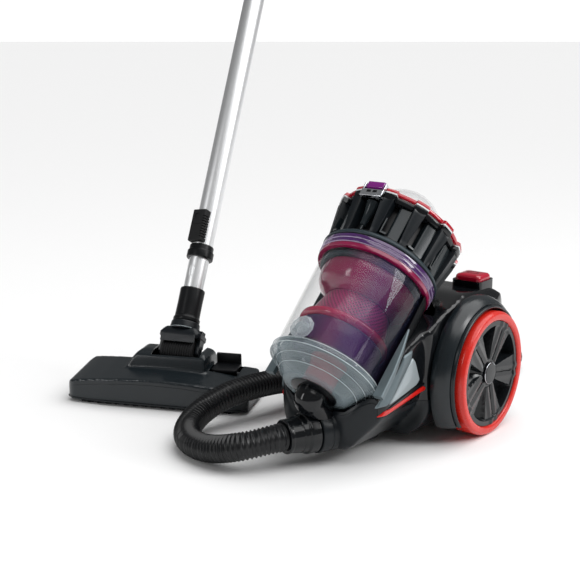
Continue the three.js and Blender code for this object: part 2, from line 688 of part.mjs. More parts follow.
function headPedal() {
  return join(
    box(-20, 20, -18, 18, 8, 12.5).rotateX(0.08),
    box(-20, 20, 12.5, 17.5, 4, 28).rotateX(0.08),
    box(-18, 18, -5, 5, -3, 10),
    rod(3, vec(-22, 0, 0), vec(22, 0, 0), 12),
  ).translate(94, 20, 42);
}

function headRoller(x) {
  return rod(8, vec(x - 7, 32, 8.2), vec(x + 7, 32, 8.2), 20);
}

function neckGroup() {
  const joint = cut(
    join(
      prism(mirrorX([[29, -20], [35, -14], [35, 14], [29, 20]]), 15).translate(0, 0, 27),
      rod(24, vec(0, 0, 33), vec(0, 0, 47), 28, 22.5),
      rod(7, vec(-34, 0, 0), vec(-28, 0, 0), 16), rod(7, vec(28, 0, 0), vec(34, 0, 0), 16),
      box(-34, -28, -7, 7, 0, 22), box(28, 34, -7, 7, 0, 22),
    ),
    rod(15, vec(0, 0, 10), vec(0, 0, 60), 24),
  );
  const cuff = cut(
    join(rod(21.5, vec(0, 0, 47.4), vec(0, 0, 55), 26), rod(20, vec(0, 0, 55), vec(0, 0, 103), 26)),
    rod(LOWER_TUBE_RADIUS + GAP, vec(0, 0, 60), vec(0, 0, 140), 22),
    rod(14, vec(0, 0, 40), vec(0, 0, 80), 24),
  );
  const lower = cut(
    rod(LOWER_TUBE_RADIUS, vec(0, 0, TUBE_START), vec(0, 0, 640), 22),
    rod(LOWER_TUBE_RADIUS - 1.2, vec(0, 0, 50), vec(0, 0, 700), 22),
  );
  const upper = cut(
    rod(UPPER_TUBE_RADIUS, vec(0, 0, COLLAR_START + 8), vec(0, 0, WAND_TOP), 22),
    rod(LOWER_TUBE_RADIUS + GAP, vec(0, 0, 100), vec(0, 0, WAND_TOP + 20), 22),
  );
  const collar = cut(
    join(
      rod(21.5, vec(0, 0, COLLAR_START - 6), vec(0, 0, COLLAR_START + 7), 22),
      rod(19.5, vec(0, 0, COLLAR_START + 6), vec(0, 0, COLLAR_START + 16), 22),
    ),
    rod(LOWER_TUBE_RADIUS + GAP, vec(0, 0, 100), vec(0, 0, COLLAR_START + 7.7), 22),
    rod(UPPER_TUBE_RADIUS + GAP, vec(0, 0, COLLAR_START + 7.7), vec(0, 0, 400), 22),
  );
  const slider = cut(
    box(-13, 13, -26, -6, COLLAR_START + 17.5, COLLAR_START + 72),
    rod(UPPER_TUBE_RADIUS + GAP, vec(0, 0, 100), vec(0, 0, 400), 22),
  ).rotateZ(THREE.MathUtils.degToRad(-14));
  const leaning = new THREE.Group();
  leaning.rotation.x = -WAND_LEAN;
  leaning.add(
    mesh('neck_joint', joint, DARK_GREY, 0.4),
    mesh('wand_cuff', cuff, SATIN_BLACK, 0.35),
    mesh('lower_tube', lower, 0xd0d4d6, 0.2, 1),
    mesh('upper_tube', upper, 0xd0d4d6, 0.2, 1),
    mesh('tube_collar', collar, SATIN_BLACK, 0.4),
    mesh('release_slider', slider, RUBBER_BLACK, 0.5),
  );
  const bellows = rod(18, vec(-27, 0, 0), vec(27, 0, 0), 24);
  const group = new THREE.Group();
  group.position.copy(NECK_PIVOT);
  group.rotation.z = NECK_TURN;
  group.add(mesh('neck_bellows', bellows, RUBBER_BLACK, 0.7), leaning);
  return group;
}

function headGroup() {
  const group = new THREE.Group();
  group.position.copy(HEAD_PLACE);
  group.rotation.z = HEAD_TURN;
  group.add(
    mesh('head_shell', headShell(), DARK_GREY, 0.35),
    mesh('head_sole', headSole(), STEEL, 0.35, 0.8),
    mesh('brush_strip', brushStrip(), RUBBER_BLACK, 0.9),
    mesh('head_pedal', headPedal(), SATIN_BLACK, 0.4),
    mesh('left_roller', headRoller(68), RUBBER_BLACK, 0.6),
    mesh('right_roller', headRoller(-68), RUBBER_BLACK, 0.6),
    neckGroup(),
  );
  return group;
}

// ---------------------------------------------------------------- assembly

const layout = new THREE.Group();
layout.position.set(LAYOUT_X, LAYOUT_Y, 0);
layout.add(
  ...bodyMeshes(), ...wheelMeshes(), ...casterMeshes(), ...motorMeshes(), reelMesh(), ...exhaustMeshes(),
  mesh('power_pedal', pedal(1), 0xc81e30, 0.2), mesh('rewind_pedal', pedal(-1), 0xc81e30, 0.2),
  binGroup(), ...hoseMeshes(), headGroup(),
);

const vacuumCleaner = new THREE.Group();
vacuumCleaner.add(layout);

export default vacuumCleaner;
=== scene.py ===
"""Bagless canister vacuum cleaner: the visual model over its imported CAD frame."""

import math

import bmesh
import bpy
from mathutils import Matrix, Vector


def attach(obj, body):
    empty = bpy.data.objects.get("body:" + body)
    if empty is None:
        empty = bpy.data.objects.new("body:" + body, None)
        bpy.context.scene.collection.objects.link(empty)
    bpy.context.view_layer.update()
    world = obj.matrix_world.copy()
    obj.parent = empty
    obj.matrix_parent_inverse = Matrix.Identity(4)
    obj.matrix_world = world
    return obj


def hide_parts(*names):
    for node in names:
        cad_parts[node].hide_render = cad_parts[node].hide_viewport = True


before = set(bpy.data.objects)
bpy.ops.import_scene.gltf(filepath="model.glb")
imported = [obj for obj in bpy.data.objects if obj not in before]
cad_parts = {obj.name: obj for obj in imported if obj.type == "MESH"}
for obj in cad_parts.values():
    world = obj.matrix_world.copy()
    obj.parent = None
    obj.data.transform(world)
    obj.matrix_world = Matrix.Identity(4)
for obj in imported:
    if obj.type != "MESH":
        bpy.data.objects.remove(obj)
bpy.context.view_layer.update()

# ---------------------------------------------------------------- places, in millimetres

LAYOUT = Vector((0.177768, -0.116122, 0.0))
MACHINE = Matrix.Translation(LAYOUT) @ Matrix.Scale(0.001, 4)
WHEEL_Z = 90.0
BIN_LEAN = math.radians(47.6)
BIN = MACHINE @ Matrix.Translation((0, -221.7, 124)) @ Matrix.Rotation(-BIN_LEAN, 4, "X")
INLET_YAW = math.radians(22)
INLET_RIM = Vector((-2, -246, 45))
HEAD = MACHINE @ Matrix.Translation((-346, -168, 0)) @ Matrix.Rotation(math.radians(23), 4, "Z")
NECK_PLACE = HEAD @ Matrix.Translation((18, 17, 73)) @ Matrix.Rotation(math.radians(-5), 4, "Z")
WAND = NECK_PLACE @ Matrix.Rotation(math.radians(-31.7), 4, "X")
HOSE_RADIUS = 19.0
CUFF_LENGTH = 46.0
COLLAR_START = 161.0

inlet_axis = Vector((-math.sin(INLET_YAW), -math.cos(INLET_YAW), 0))


def along_inlet(distance):
    return INLET_RIM + inlet_axis * distance


# The inlet frame: Z runs out of the machine along the inlet, Y is up.
INLET = MACHINE @ Matrix.Translation(INLET_RIM) @ Matrix((
    (math.cos(INLET_YAW), 0, inlet_axis.x, 0),
    (-math.sin(INLET_YAW), 0, inlet_axis.y, 0),
    (0, 1, 0, 0),
    (0, 0, 0, 1),
))


def bin_point(x, y, z):
    return MACHINE.inverted() @ (BIN @ Vector((x, y, z)))


# ---------------------------------------------------------------- camera


def make_camera():
    data = bpy.data.cameras.new("camera")
    camera = bpy.data.objects.new("camera", data)
    bpy.context.scene.collection.objects.link(camera)
    data.sensor_width = 36.0
    data.lens = 71.3
    data.clip_end = 30.0
    forward = Vector((-0.5913, 0.773, -0.23)).normalized()
    camera.location = MACHINE @ Vector((858.6, -1421.7, 583.5))
    camera.rotation_euler = forward.to_track_quat("-Z", "Y").to_euler()
    bpy.context.scene.camera = camera


# ---------------------------------------------------------------- materials


def new_material(name):
    material = bpy.data.materials.new(name)
    material.use_nodes = True
    return material, material.node_tree.nodes, material.node_tree.links


def set_inputs(node, **values):
    for key, value in values.items():
        node.inputs[key.replace("_", " ")].default_value = value


def plastic(name, color, rough=0.3, grain=900.0, bump=0.02, mottle=0.08, coat=0.0, metal=0.0, wear=0.0, shine=0.4):
    """Moulded plastic or metal: a faint mottle in colour and gloss, a fine grain and lighter worn edges."""
    material, nodes, links = new_material(name)
    shader = nodes["Principled BSDF"]
    set_inputs(shader, Metallic=metal, Coat_Weight=coat, Coat_Roughness=0.05, Specular_IOR_Level=shine)
    place = nodes.new("ShaderNodeTexCoord")
    cloud = nodes.new("ShaderNodeTexNoise")
    set_inputs(cloud, Scale=38.0, Detail=4.0)
    links.new(place.outputs["Object"], cloud.inputs["Vector"])
    tint = nodes.new("ShaderNodeMix")
    tint.data_type = "RGBA"
    dark = [c * (1 - mottle) for c in color] + [1]
    light = [min(1, c * (1 + mottle) + 0.001) for c in color] + [1]
    tint.inputs["A"].default_value = dark
    tint.inputs["B"].default_value = light
    links.new(cloud.outputs["Fac"], tint.inputs["Factor"])
    result = tint.outputs["Result"]
    if wear:
        geometry = nodes.new("ShaderNodeNewGeometry")
        edge = nodes.new("ShaderNodeMapRange")
        set_inputs(edge, From_Min=0.53, From_Max=0.62, To_Min=0.0, To_Max=wear)
        links.new(geometry.outputs["Pointiness"], edge.inputs["Value"])
        worn = nodes.new("ShaderNodeMix")
        worn.data_type = "RGBA"
        worn.inputs["B"].default_value = [min(1, c * 2.2 + 0.08) for c in color] + [1]
        links.new(edge.outputs["Result"], worn.inputs["Factor"])
        links.new(result, worn.inputs["A"])
        result = worn.outputs["Result"]
    links.new(result, shader.inputs["Base Color"])
    gloss = nodes.new("ShaderNodeMapRange")
    set_inputs(gloss, To_Min=rough * 0.85, To_Max=rough * 1.2)
    links.new(cloud.outputs["Fac"], gloss.inputs["Value"])
    links.new(gloss.outputs["Result"], shader.inputs["Roughness"])
    fine = nodes.new("ShaderNodeTexNoise")
    set_inputs(fine, Scale=grain, Detail=2.0)
    links.new(place.outputs["Object"], fine.inputs["Vector"])
    relief = nodes.new("ShaderNodeBump")
    set_inputs(relief, Strength=bump, Distance=0.0004)
    links.new(fine.outputs["Fac"], relief.inputs["Height"])
    links.new(relief.outputs["Normal"], shader.inputs["Normal"])
    return material


def clear_plastic(name, color, thin=0.1, edge=0.8, rough=0.05, painted_glow_and_reflection=None):
    """Clear or tinted plastic: nearly invisible face on, and denser where the wall is seen along its length.

    painted_glow_and_reflection is a list of (place, colour) stops from the middle of the bin to its left side, X in
    the frame. It is painted light: a glow and a dark reflection mixed into the wall's colour towards that side, where
    the wall is also made denser."""
    material, nodes, links = new_material(name)
    shader = nodes["Principled BSDF"]
    set_inputs(shader, Roughness=rough, Coat_Weight=0.3, Coat_Roughness=0.03)
    place = nodes.new("ShaderNodeTexCoord")
    cloud = nodes.new("ShaderNodeTexNoise")
    set_inputs(cloud, Scale=22.0, Detail=3.0)
    links.new(place.outputs["Object"], cloud.inputs["Vector"])
    tint = nodes.new("ShaderNodeMix")
    tint.data_type = "RGBA"
    tint.inputs["A"].default_value = [c * 0.92 for c in color] + [1]
    tint.inputs["B"].default_value = list(color) + [1]
    links.new(cloud.outputs["Fac"], tint.inputs["Factor"])
    result = tint.outputs["Result"]
    facing = nodes.new("ShaderNodeLayerWeight")
    facing.inputs["Blend"].default_value = 0.28
    density = nodes.new("ShaderNodeMapRange")
    set_inputs(density, From_Min=0.0, From_Max=1.0, To_Min=thin, To_Max=edge)
    links.new(facing.outputs["Facing"], density.inputs["Value"])
    alpha = density.outputs["Result"]
    # Painted glow and painted reflection: across the bin's left side the wall's colour is pushed towards the stops.
    # They stand in for the lit parts behind the wall and the dark body it reflects.
    if painted_glow_and_reflection:
        split = nodes.new("ShaderNodeSeparateXYZ")
        links.new(place.outputs["Object"], split.inputs["Vector"])
        side = nodes.new("ShaderNodeMapRange")
        set_inputs(side, From_Min=LAYOUT.x - 0.01, From_Max=LAYOUT.x + 0.079)
        links.new(split.outputs["X"], side.inputs["Value"])
        ramp = nodes.new("ShaderNodeValToRGB")
        ramp.color_ramp.interpolation = "EASE"
        for i, (stop, stop_color) in enumerate(painted_glow_and_reflection):
            point = ramp.color_ramp.elements[i] if i < 2 else ramp.color_ramp.elements.new(stop)
            point.position = stop
            point.color = list(stop_color) + [1]
        links.new(side.outputs["Result"], ramp.inputs["Fac"])
        reflection_mix = nodes.new("ShaderNodeMix")
        reflection_mix.data_type = "RGBA"
        links.new(side.outputs["Result"], reflection_mix.inputs["Factor"])
        links.new(result, reflection_mix.inputs["A"])
        links.new(ramp.outputs["Color"], reflection_mix.inputs["B"])
        result = reflection_mix.outputs["Result"]
        more = nodes.new("ShaderNodeMath")
        more.operation = "MULTIPLY_ADD"
        links.new(side.outputs["Result"], more.inputs[0])
        more.inputs[1].default_value = 0.3
        links.new(alpha, more.inputs[2])
        more.use_clamp = True
        alpha = more.outputs["Value"]
    links.new(result, shader.inputs["Base Color"])
    links.new(alpha, shader.inputs["Alpha"])
    return material


def brushed(name, color, rough=0.3, stretch=60.0):
    """Drawn metal: fine scratches along Z and a slow change of gloss."""
    material, nodes, links = new_material(name)
    shader = nodes["Principled BSDF"]
    set_inputs(shader, Metallic=1.0)
    place = nodes.new("ShaderNodeTexCoord")
    mapping = nodes.new("ShaderNodeMapping")
    mapping.inputs["Scale"].default_value = (stretch * 20, stretch * 20, stretch)
    links.new(place.outputs["Object"], mapping.inputs["Vector"])
    lines = nodes.new("ShaderNodeTexNoise")
    set_inputs(lines, Scale=1.0, Detail=3.0)
    links.new(mapping.outputs["Vector"], lines.inputs["Vector"])
    tint = nodes.new("ShaderNodeMix")
    tint.data_type = "RGBA"
    tint.inputs["A"].default_value = [c * 0.96 for c in color] + [1]
    tint.inputs["B"].default_value = [min(1, c * 1.03) for c in color] + [1]
    links.new(lines.outputs["Fac"], tint.inputs["Factor"])
    links.new(tint.outputs["Result"], shader.inputs["Base Color"])
    gloss = nodes.new("ShaderNodeMapRange")
    set_inputs(gloss, To_Min=rough * 0.8, To_Max=rough * 1.25)
    links.new(lines.outputs["Fac"], gloss.inputs["Value"])
    links.new(gloss.outputs["Result"], shader.inputs["Roughness"])
    relief = nodes.new("ShaderNodeBump")
    set_inputs(relief, Strength=0.02, Distance=0.0001)
    links.new(lines.outputs["Fac"], relief.inputs["Height"])
    links.new(relief.outputs["Normal"], shader.inputs["Normal"])
    return material


def perforated(name, color, hole_shade):
    """Plastic with a diagonal grid of small round holes, wound round the bin's axis. The holes are dark dots of
    painted shade, for the shaded inside seen through them, and a bump dents them.
    """
    material, nodes, links = new_material(name)
    shader = nodes["Principled BSDF"]
    set_inputs(shader, Roughness=0.35, Coat_Weight=0.3)
    place = nodes.new("ShaderNodeUVMap")
    place.uv_map = "around"
    dots = nodes.new("ShaderNodeTexVoronoi")
    dots.inputs["Scale"].default_value = 1.0
    dots.inputs["Randomness"].default_value = 0.0
    turn = nodes.new("ShaderNodeMapping")
    turn.inputs["Rotation"].default_value = (0, 0, math.radians(45))
    turn.inputs["Scale"].default_value = (1.0, 1.0, 1.0)
    links.new(place.outputs["UV"], turn.inputs["Vector"])
    links.new(turn.outputs["Vector"], dots.inputs["Vector"])
    dots.voronoi_dimensions = "2D"
    mask = nodes.new("ShaderNodeMapRange")
    set_inputs(mask, From_Min=0.27, From_Max=0.34, To_Min=0.0, To_Max=1.0)
    links.new(dots.outputs["Distance"], mask.inputs["Value"])
    tint = nodes.new("ShaderNodeMix")
    tint.data_type = "RGBA"
    tint.inputs["A"].default_value = list(hole_shade) + [1]
    tint.inputs["B"].default_value = list(color) + [1]
    links.new(mask.outputs["Result"], tint.inputs["Factor"])
    links.new(tint.outputs["Result"], shader.inputs["Base Color"])
    relief = nodes.new("ShaderNodeBump")
    set_inputs(relief, Strength=0.6, Distance=0.0008)
    links.new(mask.outputs["Result"], relief.inputs["Height"])
    links.new(relief.outputs["Normal"], shader.inputs["Normal"])
    return material


def felt(name, color):
    """Filter felt: soft, fibrous and matt."""
    material = plastic(name, color, rough=0.9, grain=1600.0, bump=0.5, mottle=0.06)
    set_inputs(material.node_tree.nodes["Principled BSDF"], Sheen_Weight=0.4)
    return material


GLOSS_BLACK = plastic("gloss_black", (0.004, 0.0048, 0.006), rough=0.12, coat=0.1, bump=0.01, shine=0.34)
SATIN_BLACK = plastic("satin_black", (0.005, 0.0055, 0.0065), rough=0.32, bump=0.04, shine=0.2)
BODY_GREY = plastic("body_grey", (0.006, 0.0085, 0.011), rough=0.3, bump=0.03, shine=0.28)
FENDER_GREY = plastic("fender_grey", (0.007, 0.011, 0.014), rough=0.24, bump=0.015, mottle=0.04, shine=0.45)
HUB_BLACK = plastic("hub_black", (0.006, 0.0075, 0.009), rough=0.2, bump=0.02, mottle=0.04)
SILVER = plastic("silver_trim", (0.13, 0.165, 0.18), rough=0.3, metal=0.4, bump=0.02)
# Paler silver: on the side trim's wedge it is painted light, the lit face of the one silver trim.
SILVER_LIGHT = plastic("silver_light", (0.36, 0.41, 0.43), rough=0.3, metal=0.3, bump=0.02)
SMOKE = plastic("smoke_panel", (0.011, 0.016, 0.019), rough=0.2, metal=0.1, bump=0.02)
RED = plastic("signal_red", (0.62, 0.010, 0.006), rough=0.22, coat=0.3, bump=0.01)
WHEEL_RED = plastic("wheel_red", (0.62, 0.018, 0.010), rough=0.26, coat=0.15, bump=0.02, mottle=0.05)
PEDAL_RED = plastic("pedal_red", (0.40, 0.004, 0.026), rough=0.14, coat=0.5, bump=0.01)
RIM_RED = plastic("rim_red", (0.42, 0.004, 0.018), rough=0.10, coat=0.6, bump=0.01)
WHITE_STRIP = plastic("white_strip", (0.70, 0.72, 0.73), rough=0.25, coat=0.3, bump=0.01)
CHROME = plastic("chrome_frame", (0.72, 0.74, 0.78), rough=0.08, metal=1.0, bump=0.0)
BUTTON_PURPLE = plastic("button_purple", (0.20, 0.008, 0.20), rough=0.12, coat=0.7, bump=0.01)
RUBBER = plastic("rubber", (0.006, 0.0063, 0.007), rough=0.6, bump=0.15, shine=0.3)
SEAL = plastic("seal_rubber", (0.016, 0.030, 0.038), rough=0.4, bump=0.05)
HOSE_BLACK = plastic("hose_black", (0.005, 0.0055, 0.0065), rough=0.30, bump=0.04, shine=0.35)
BRISTLE = plastic("bristle", (0.007, 0.007, 0.007), rough=0.8, grain=2500.0, bump=0.4, shine=0.2)
TUBE_METAL = brushed("tube_metal", (0.88, 0.89, 0.90), rough=0.40)
STEEL = brushed("steel", (0.45, 0.47, 0.49), rough=0.32)
CAST_METAL = plastic("motor_metal", (0.30, 0.31, 0.32), rough=0.42, metal=0.9, bump=0.2)
BOARD = plastic("circuit_board", (0.02, 0.12, 0.05), rough=0.5, bump=0.1)
FILTER = felt("filter_felt", (0.62, 0.62, 0.60))
# The clear wall's stops are painted light across the bin's left side: a magenta glow of the cyclone behind the wall,
# and a dark reflection of the body.
CLEAR = clear_plastic("clear_wall", (0.16, 0.19, 0.21), thin=0.006, edge=0.30, painted_glow_and_reflection=[
    (0.0, (0.30, 0.06, 0.20)), (1.0, (0.006, 0.008, 0.020)), (0.36, (0.62, 0.03, 0.30)), (0.66, (0.10, 0.008, 0.20)),
])
CLEAR_CAP = clear_plastic("clear_cap", (0.30, 0.37, 0.40), thin=0.30, edge=0.85)
# Painted highlight: the pale rings drawn on the bowl's edges.
CLEAR_EDGE_HIGHLIGHT = clear_plastic("painted_edge_highlight", (0.72, 0.78, 0.80), thin=0.6, edge=0.9)
CLEAR_KNOB = clear_plastic("clear_knob", (0.42, 0.47, 0.50), thin=0.35, edge=0.9, rough=0.06)
CLEAR_DOME = clear_plastic("clear_dome", (0.30, 0.33, 0.35), thin=0.012, edge=0.24)
PURPLE_RING = plastic("purple_flange", (0.055, 0.012, 0.10), rough=0.12, coat=0.8, bump=0.01, mottle=0.3)
LAVENDER = plastic("lavender_line", (0.42, 0.33, 0.50), rough=0.16, coat=0.5, bump=0.01)
WINE = plastic("wine", (0.24, 0.006, 0.055), rough=0.16, coat=0.6, bump=0.01, mottle=0.2)
# The dark dots are painted shade in the sieve's holes.
WINE_HOLES = perforated("wine_holes", (0.34, 0.012, 0.095), (0.012, 0.003, 0.012))
SKIRT_PINK = plastic("skirt_pink", (0.42, 0.010, 0.06), rough=0.18, coat=0.5, bump=0.01)
PURPLE_DUSK = clear_plastic("purple_collector", (0.06, 0.014, 0.10), thin=0.66, edge=0.97, rough=0.1)
RISER_RED = plastic("riser_red", (0.50, 0.010, 0.028), rough=0.25, coat=0.4, bump=0.01)

# ---------------------------------------------------------------- mesh making


def finish_mesh(obj, material, body, nodes=(), sharp=32.0):
    """Gives a made piece its material, its shading and its place on the frame."""
    obj.data.materials.clear()
    for one in material if isinstance(material, (list, tuple)) else [material]:
        obj.data.materials.append(one)
    obj.data.shade_smooth()
    obj.data.set_sharp_from_angle(angle=math.radians(sharp))
    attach(obj, body)
    if nodes:
        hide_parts(*nodes)
    return obj


def make_object(name, verts, faces, matrix):
    mesh = bpy.data.meshes.new(name)
    mesh.from_pydata([matrix @ Vector(v) for v in verts], [], faces)
    mesh.update()
    work = bmesh.new()
    work.from_mesh(mesh)
    bmesh.ops.remove_doubles(work, verts=work.verts, dist=1e-7)
    bmesh.ops.recalc_face_normals(work, faces=work.faces)
    work.to_mesh(mesh)
    work.free()
    obj = bpy.data.objects.new(name, mesh)
    bpy.context.scene.collection.objects.link(obj)
    return obj


def rounded(points, radius, steps=4, closed=True):
    """A polyline with its corners rounded."""
    out = []
    count = len(points)
    for i, point in enumerate(points):
        if not closed and i in (0, count - 1):
            out.append(tuple(point))
            continue
        here, before, after = (Vector(points[j % count]) for j in (i, i - 1, i + 1))
        back, ahead = before - here, after - here
        if back.length < 1e-6 or ahead.length < 1e-6 or back.angle(ahead) > 3.05:
            out.append(tuple(point))
            continue
        reach = min(radius, back.length * 0.45, ahead.length * 0.45)
        start, end = here + back.normalized() * reach, here + ahead.normalized() * reach
        for k in range(steps + 1):
            t = k / steps
            out.append(tuple(start * (1 - t) ** 2 + here * 2 * t * (1 - t) + end * t * t))
    return out


def lathe_data(profile, segments=96, arc=(0.0, 360.0), closed=True):
    """Vertices and faces of a profile of (radius, height) turned about Z."""
    full = abs(arc[1] - arc[0]) > 359.9
    turns = segments if full else segments + 1
    verts, faces = [], []
    count = len(profile)
    for i in range(turns):
        angle = math.radians(arc[0] + (arc[1] - arc[0]) * i / segments)
        for r, h in profile:
            verts.append((r * math.cos(angle), r * math.sin(angle), h))
    spans = count if closed else count - 1
    for i in range(segments):
        a, b = i * count, ((i + 1) % turns) * count
        for j in range(spans):
            k = (j + 1) % count
            corners = [a + j, b + j, b + k, a + k]
            if profile[j][0] < 1e-6:
                corners.remove(b + j)
            if profile[k][0] < 1e-6:
                corners.remove(b + k)
            if len(corners) > 2:
                faces.append(corners)
    if not full and closed:
        faces.append(list(range(count)))
        faces.append(list(range((turns - 1) * count, turns * count))[::-1])
    return verts, faces


def lathe(name, profile, matrix, material, body, nodes=(), soft=0.8, segments=96, arc=(0.0, 360.0),
          closed=True, sharp=32.0):
    outline = rounded(profile, soft, 3, closed) if soft else profile
    verts, faces = lathe_data(outline, segments, arc, closed)
    obj = make_object(name, verts, faces, matrix)
    return finish_mesh(obj, material, body, nodes, sharp)


def loft_data(rings, closed_ends=True):
    """Faces between rings of equally many points."""
    verts = [point for ring in rings for point in ring]
    count = len(rings[0])
    faces = []
    for i in range(len(rings) - 1):
        for j in range(count):
            k = (j + 1) % count
            faces.append([i * count + j, i * count + k, (i + 1) * count + k, (i + 1) * count + j])
    if closed_ends:
        faces.append(list(range(count))[::-1])
        faces.append(list(range((len(rings) - 1) * count, len(rings) * count)))
    return verts, faces


def prism_object(name, outline, low, high, matrix):
    rings = [[(x, y, low) for x, y in outline], [(x, y, high) for x, y in outline]]
    return make_object(name, *loft_data(rings), matrix)


def apply_all(obj):
    """Turns an object's modifiers into its mesh."""
    bpy.context.view_layer.update()
    seen = obj.evaluated_get(bpy.context.evaluated_depsgraph_get())
    mesh = bpy.data.meshes.new_from_object(seen)
    obj.modifiers.clear()
    obj.data = mesh
    return obj


def combine(obj, others, operation):
    """Joins, cuts or crosses an object with others, and removes them."""
    for other in others:
        step = obj.modifiers.new("step", "BOOLEAN")
        step.operation = operation
        step.solver = "EXACT"
        step.object = other
        apply_all(obj)
        bpy.data.objects.remove(other)
    return obj


def soften(obj, voxel, rounds):
    """Remeshes a solid evenly and smooths it, so that its edges become moulded."""
    mesh = obj.modifiers.new("even", "REMESH")
    mesh.mode = "VOXEL"
    mesh.voxel_size = voxel * 0.001
    ease = obj.modifiers.new("ease", "SMOOTH")
    ease.factor = 0.5
    ease.iterations = rounds
    return apply_all(obj)


def bevel(obj, width, segments=3, angle=30.0):
    step = obj.modifiers.new("bevel", "BEVEL")
    step.width = width * 0.001
    step.segments = segments
    step.limit_method = "ANGLE"
    step.angle_limit = math.radians(angle)
    return apply_all(obj)


def rounded_box(name, low, high, matrix, material, body, nodes=(), edge=1.5, corner=None):
    """A box with rounded upright corners and bevelled edges."""
    (x0, y0, z0), (x1, y1, z1) = low, high
    outline = rounded([(x0, y0), (x1, y0), (x1, y1), (x0, y1)], corner or edge * 1.5, 5)
    obj = prism_object(name, outline, z0, z1, matrix)
    bevel(obj, edge)
    return finish_mesh(obj, material, body, nodes)


def rod_object(name, radius, start, end, matrix, end_radius=None, segments=48):
    start, end = Vector(start), Vector(end)
    turn = (end - start).to_track_quat("Z", "Y").to_matrix().to_4x4()
    length = (end - start).length
    profile = [(0, 0), (radius, 0), (end_radius or radius, length), (0, length)]
    verts, faces = lathe_data(profile, segments, closed=False)
    return make_object(name, verts, faces, matrix @ Matrix.Translation(start) @ turn)


def centripetal(points, per_span=12):
    """Samples of a centripetal Catmull-Rom curve through the points, as the CAD source draws it."""
    points = [Vector(p) for p in points]
    points = [points[0] * 2 - points[1]] + points + [points[-1] * 2 - points[-2]]
    out = []
    for i in range(1, len(points) - 2):
        p0, p1, p2, p3 = points[i - 1:i + 3]
        t1 = (p1 - p0).length ** 0.5
        t2 = t1 + (p2 - p1).length ** 0.5
        t3 = t2 + (p3 - p2).length ** 0.5
        for k in range(per_span):
            t = t1 + (t2 - t1) * k / per_span
            a1 = p0 * ((t1 - t) / t1) + p1 * (t / t1)
            a2 = p1 * ((t2 - t) / (t2 - t1)) + p2 * ((t - t1) / (t2 - t1))
            a3 = p2 * ((t3 - t) / (t3 - t2)) + p3 * ((t - t2) / (t3 - t2))
            b1 = a1 * ((t2 - t) / t2) + a2 * (t / t2)
            b2 = a2 * ((t3 - t) / (t3 - t1)) + a3 * ((t - t1) / (t3 - t1))
            out.append(b1 * ((t2 - t) / (t2 - t1)) + b2 * ((t - t1) / (t2 - t1)))
    return out + [points[-2]]


def even_steps(points, step):
    """Points spaced evenly along a polyline."""
    out, left = [points[0].copy()], step
    for a, b in zip(points, points[1:]):
        span = (b - a).length
        done = 0.0
        while span - done >= left:
            done += left
            out.append(a.lerp(b, done / span))
            left = step
        left -= span - done
    return out


def sweep(path, radii, sides, start_normal=Vector((0, 0, 1))):
    """A tube along a path with its own radius at each point."""
    rings = []
    normal = start_normal
    for i, point in enumerate(path):
        ahead = (path[min(i + 1, len(path) - 1)] - path[max(i - 1, 0)]).normalized()
        normal = (normal - ahead * normal.dot(ahead)).normalized()
        side = ahead.cross(normal)
        rings.append([
            point + (normal * math.cos(a) + side * math.sin(a)) * radii[i]
            for a in (math.tau * k / sides for k in range(sides))
        ])
    return loft_data(rings)


# ---------------------------------------------------------------- the hose

HOSE_ROUTE = [
    (-19.6, -289, 45), (-25, -303, 44), (-54, -332, 37), (-104, -338, 24), (-150, -326, 20),
    (-182, -298, 22), (-196, -255, 32), (-188, -205, 46), (-172, -140, 50), (-163, -80, 44),
    (-165, -10, 32), (-172, 50, 22), (-163, 115, 20), (-138, 175, 20), (-78, 200, 20),
    (-2, 222, 20), (20, 275, 20), (-2, 328, 20), (-55, 350, 20), (-140, 350, 20),
    (-220, 350, 20), (-300, 350, 20), (-353, 372, 20), (-375, 425, 20), (-353, 478, 20),
    (-320, 500, 20), (-300, 500, 20),
]
RIB_PITCH = 5.6


def make_hose():
    route = [Vector(p) for p in HOSE_ROUTE]
    route[0] = along_inlet(CUFF_LENGTH + 0.3)
    route[1] = along_inlet(CUFF_LENGTH + 14)
    line = centripetal(route)
    steps = even_steps(line, RIB_PITCH / 6)
    wave = [17.0, 17.3, 18.6, 19.2, 18.6, 17.3]
    radii = [wave[i % 6] for i in range(len(steps))]
    verts, faces = sweep(steps, radii, 28)
    obj = make_object("hose_corrugated", verts, faces, MACHINE)
    finish_mesh(obj, HOSE_BLACK, "canister", ["hose"], sharp=60)
    path = [MACHINE @ p for p in even_steps(line, 12.0)] + [MACHINE @ line[-1]]
    return obj


make_camera()
hose = make_hose()

# ---------------------------------------------------------------- canister body

SIDE_PLANE = Matrix(((0, 0, 1, 0), (1, 0, 0, 0), (0, 1, 0, 0), (0, 0, 0, 1)))
FRONT_PLANE = Matrix(((1, 0, 0, 0), (0, 0, -1, 0), (0, 1, 0, 0), (0, 0, 0, 1)))

HULL_SIDE = [
    (-238, 62), (-232, 20), (-205, 12), (142, 12), (160, 34), (160, 118), (150, 138),
    (124, 166), (104, 186), (88, 193), (14, 197), (-70, 181), (-164, 153), (-226, 97),
]
FRONT_SECTION = [(26, 12), (48, 26), (82, 66), (88, 100), (90, 150), (82, 188), (66, 203)]
REAR_SECTION = [(60, 12), (84, 30), (96, 58), (96, 160), (88, 186), (70, 203)]
FRONT_PLAN = [(34, -240), (62, -230), (83, -208), (90, -180), (94, -140), (96, -100), (96, 20)]
REAR_PLAN = [(92, -112), (96, -98), (96, 70), (88, 115), (68, 148), (52, 160)]
SPLIT_Z = 70.0
CRADLE_OUTER = 82.4
RIM_DEPTH = 11.0  # how far below the bin's axis the cradle's rim lies


def both_sides(half):
    return half + [(-x, y) for x, y in reversed(half)]


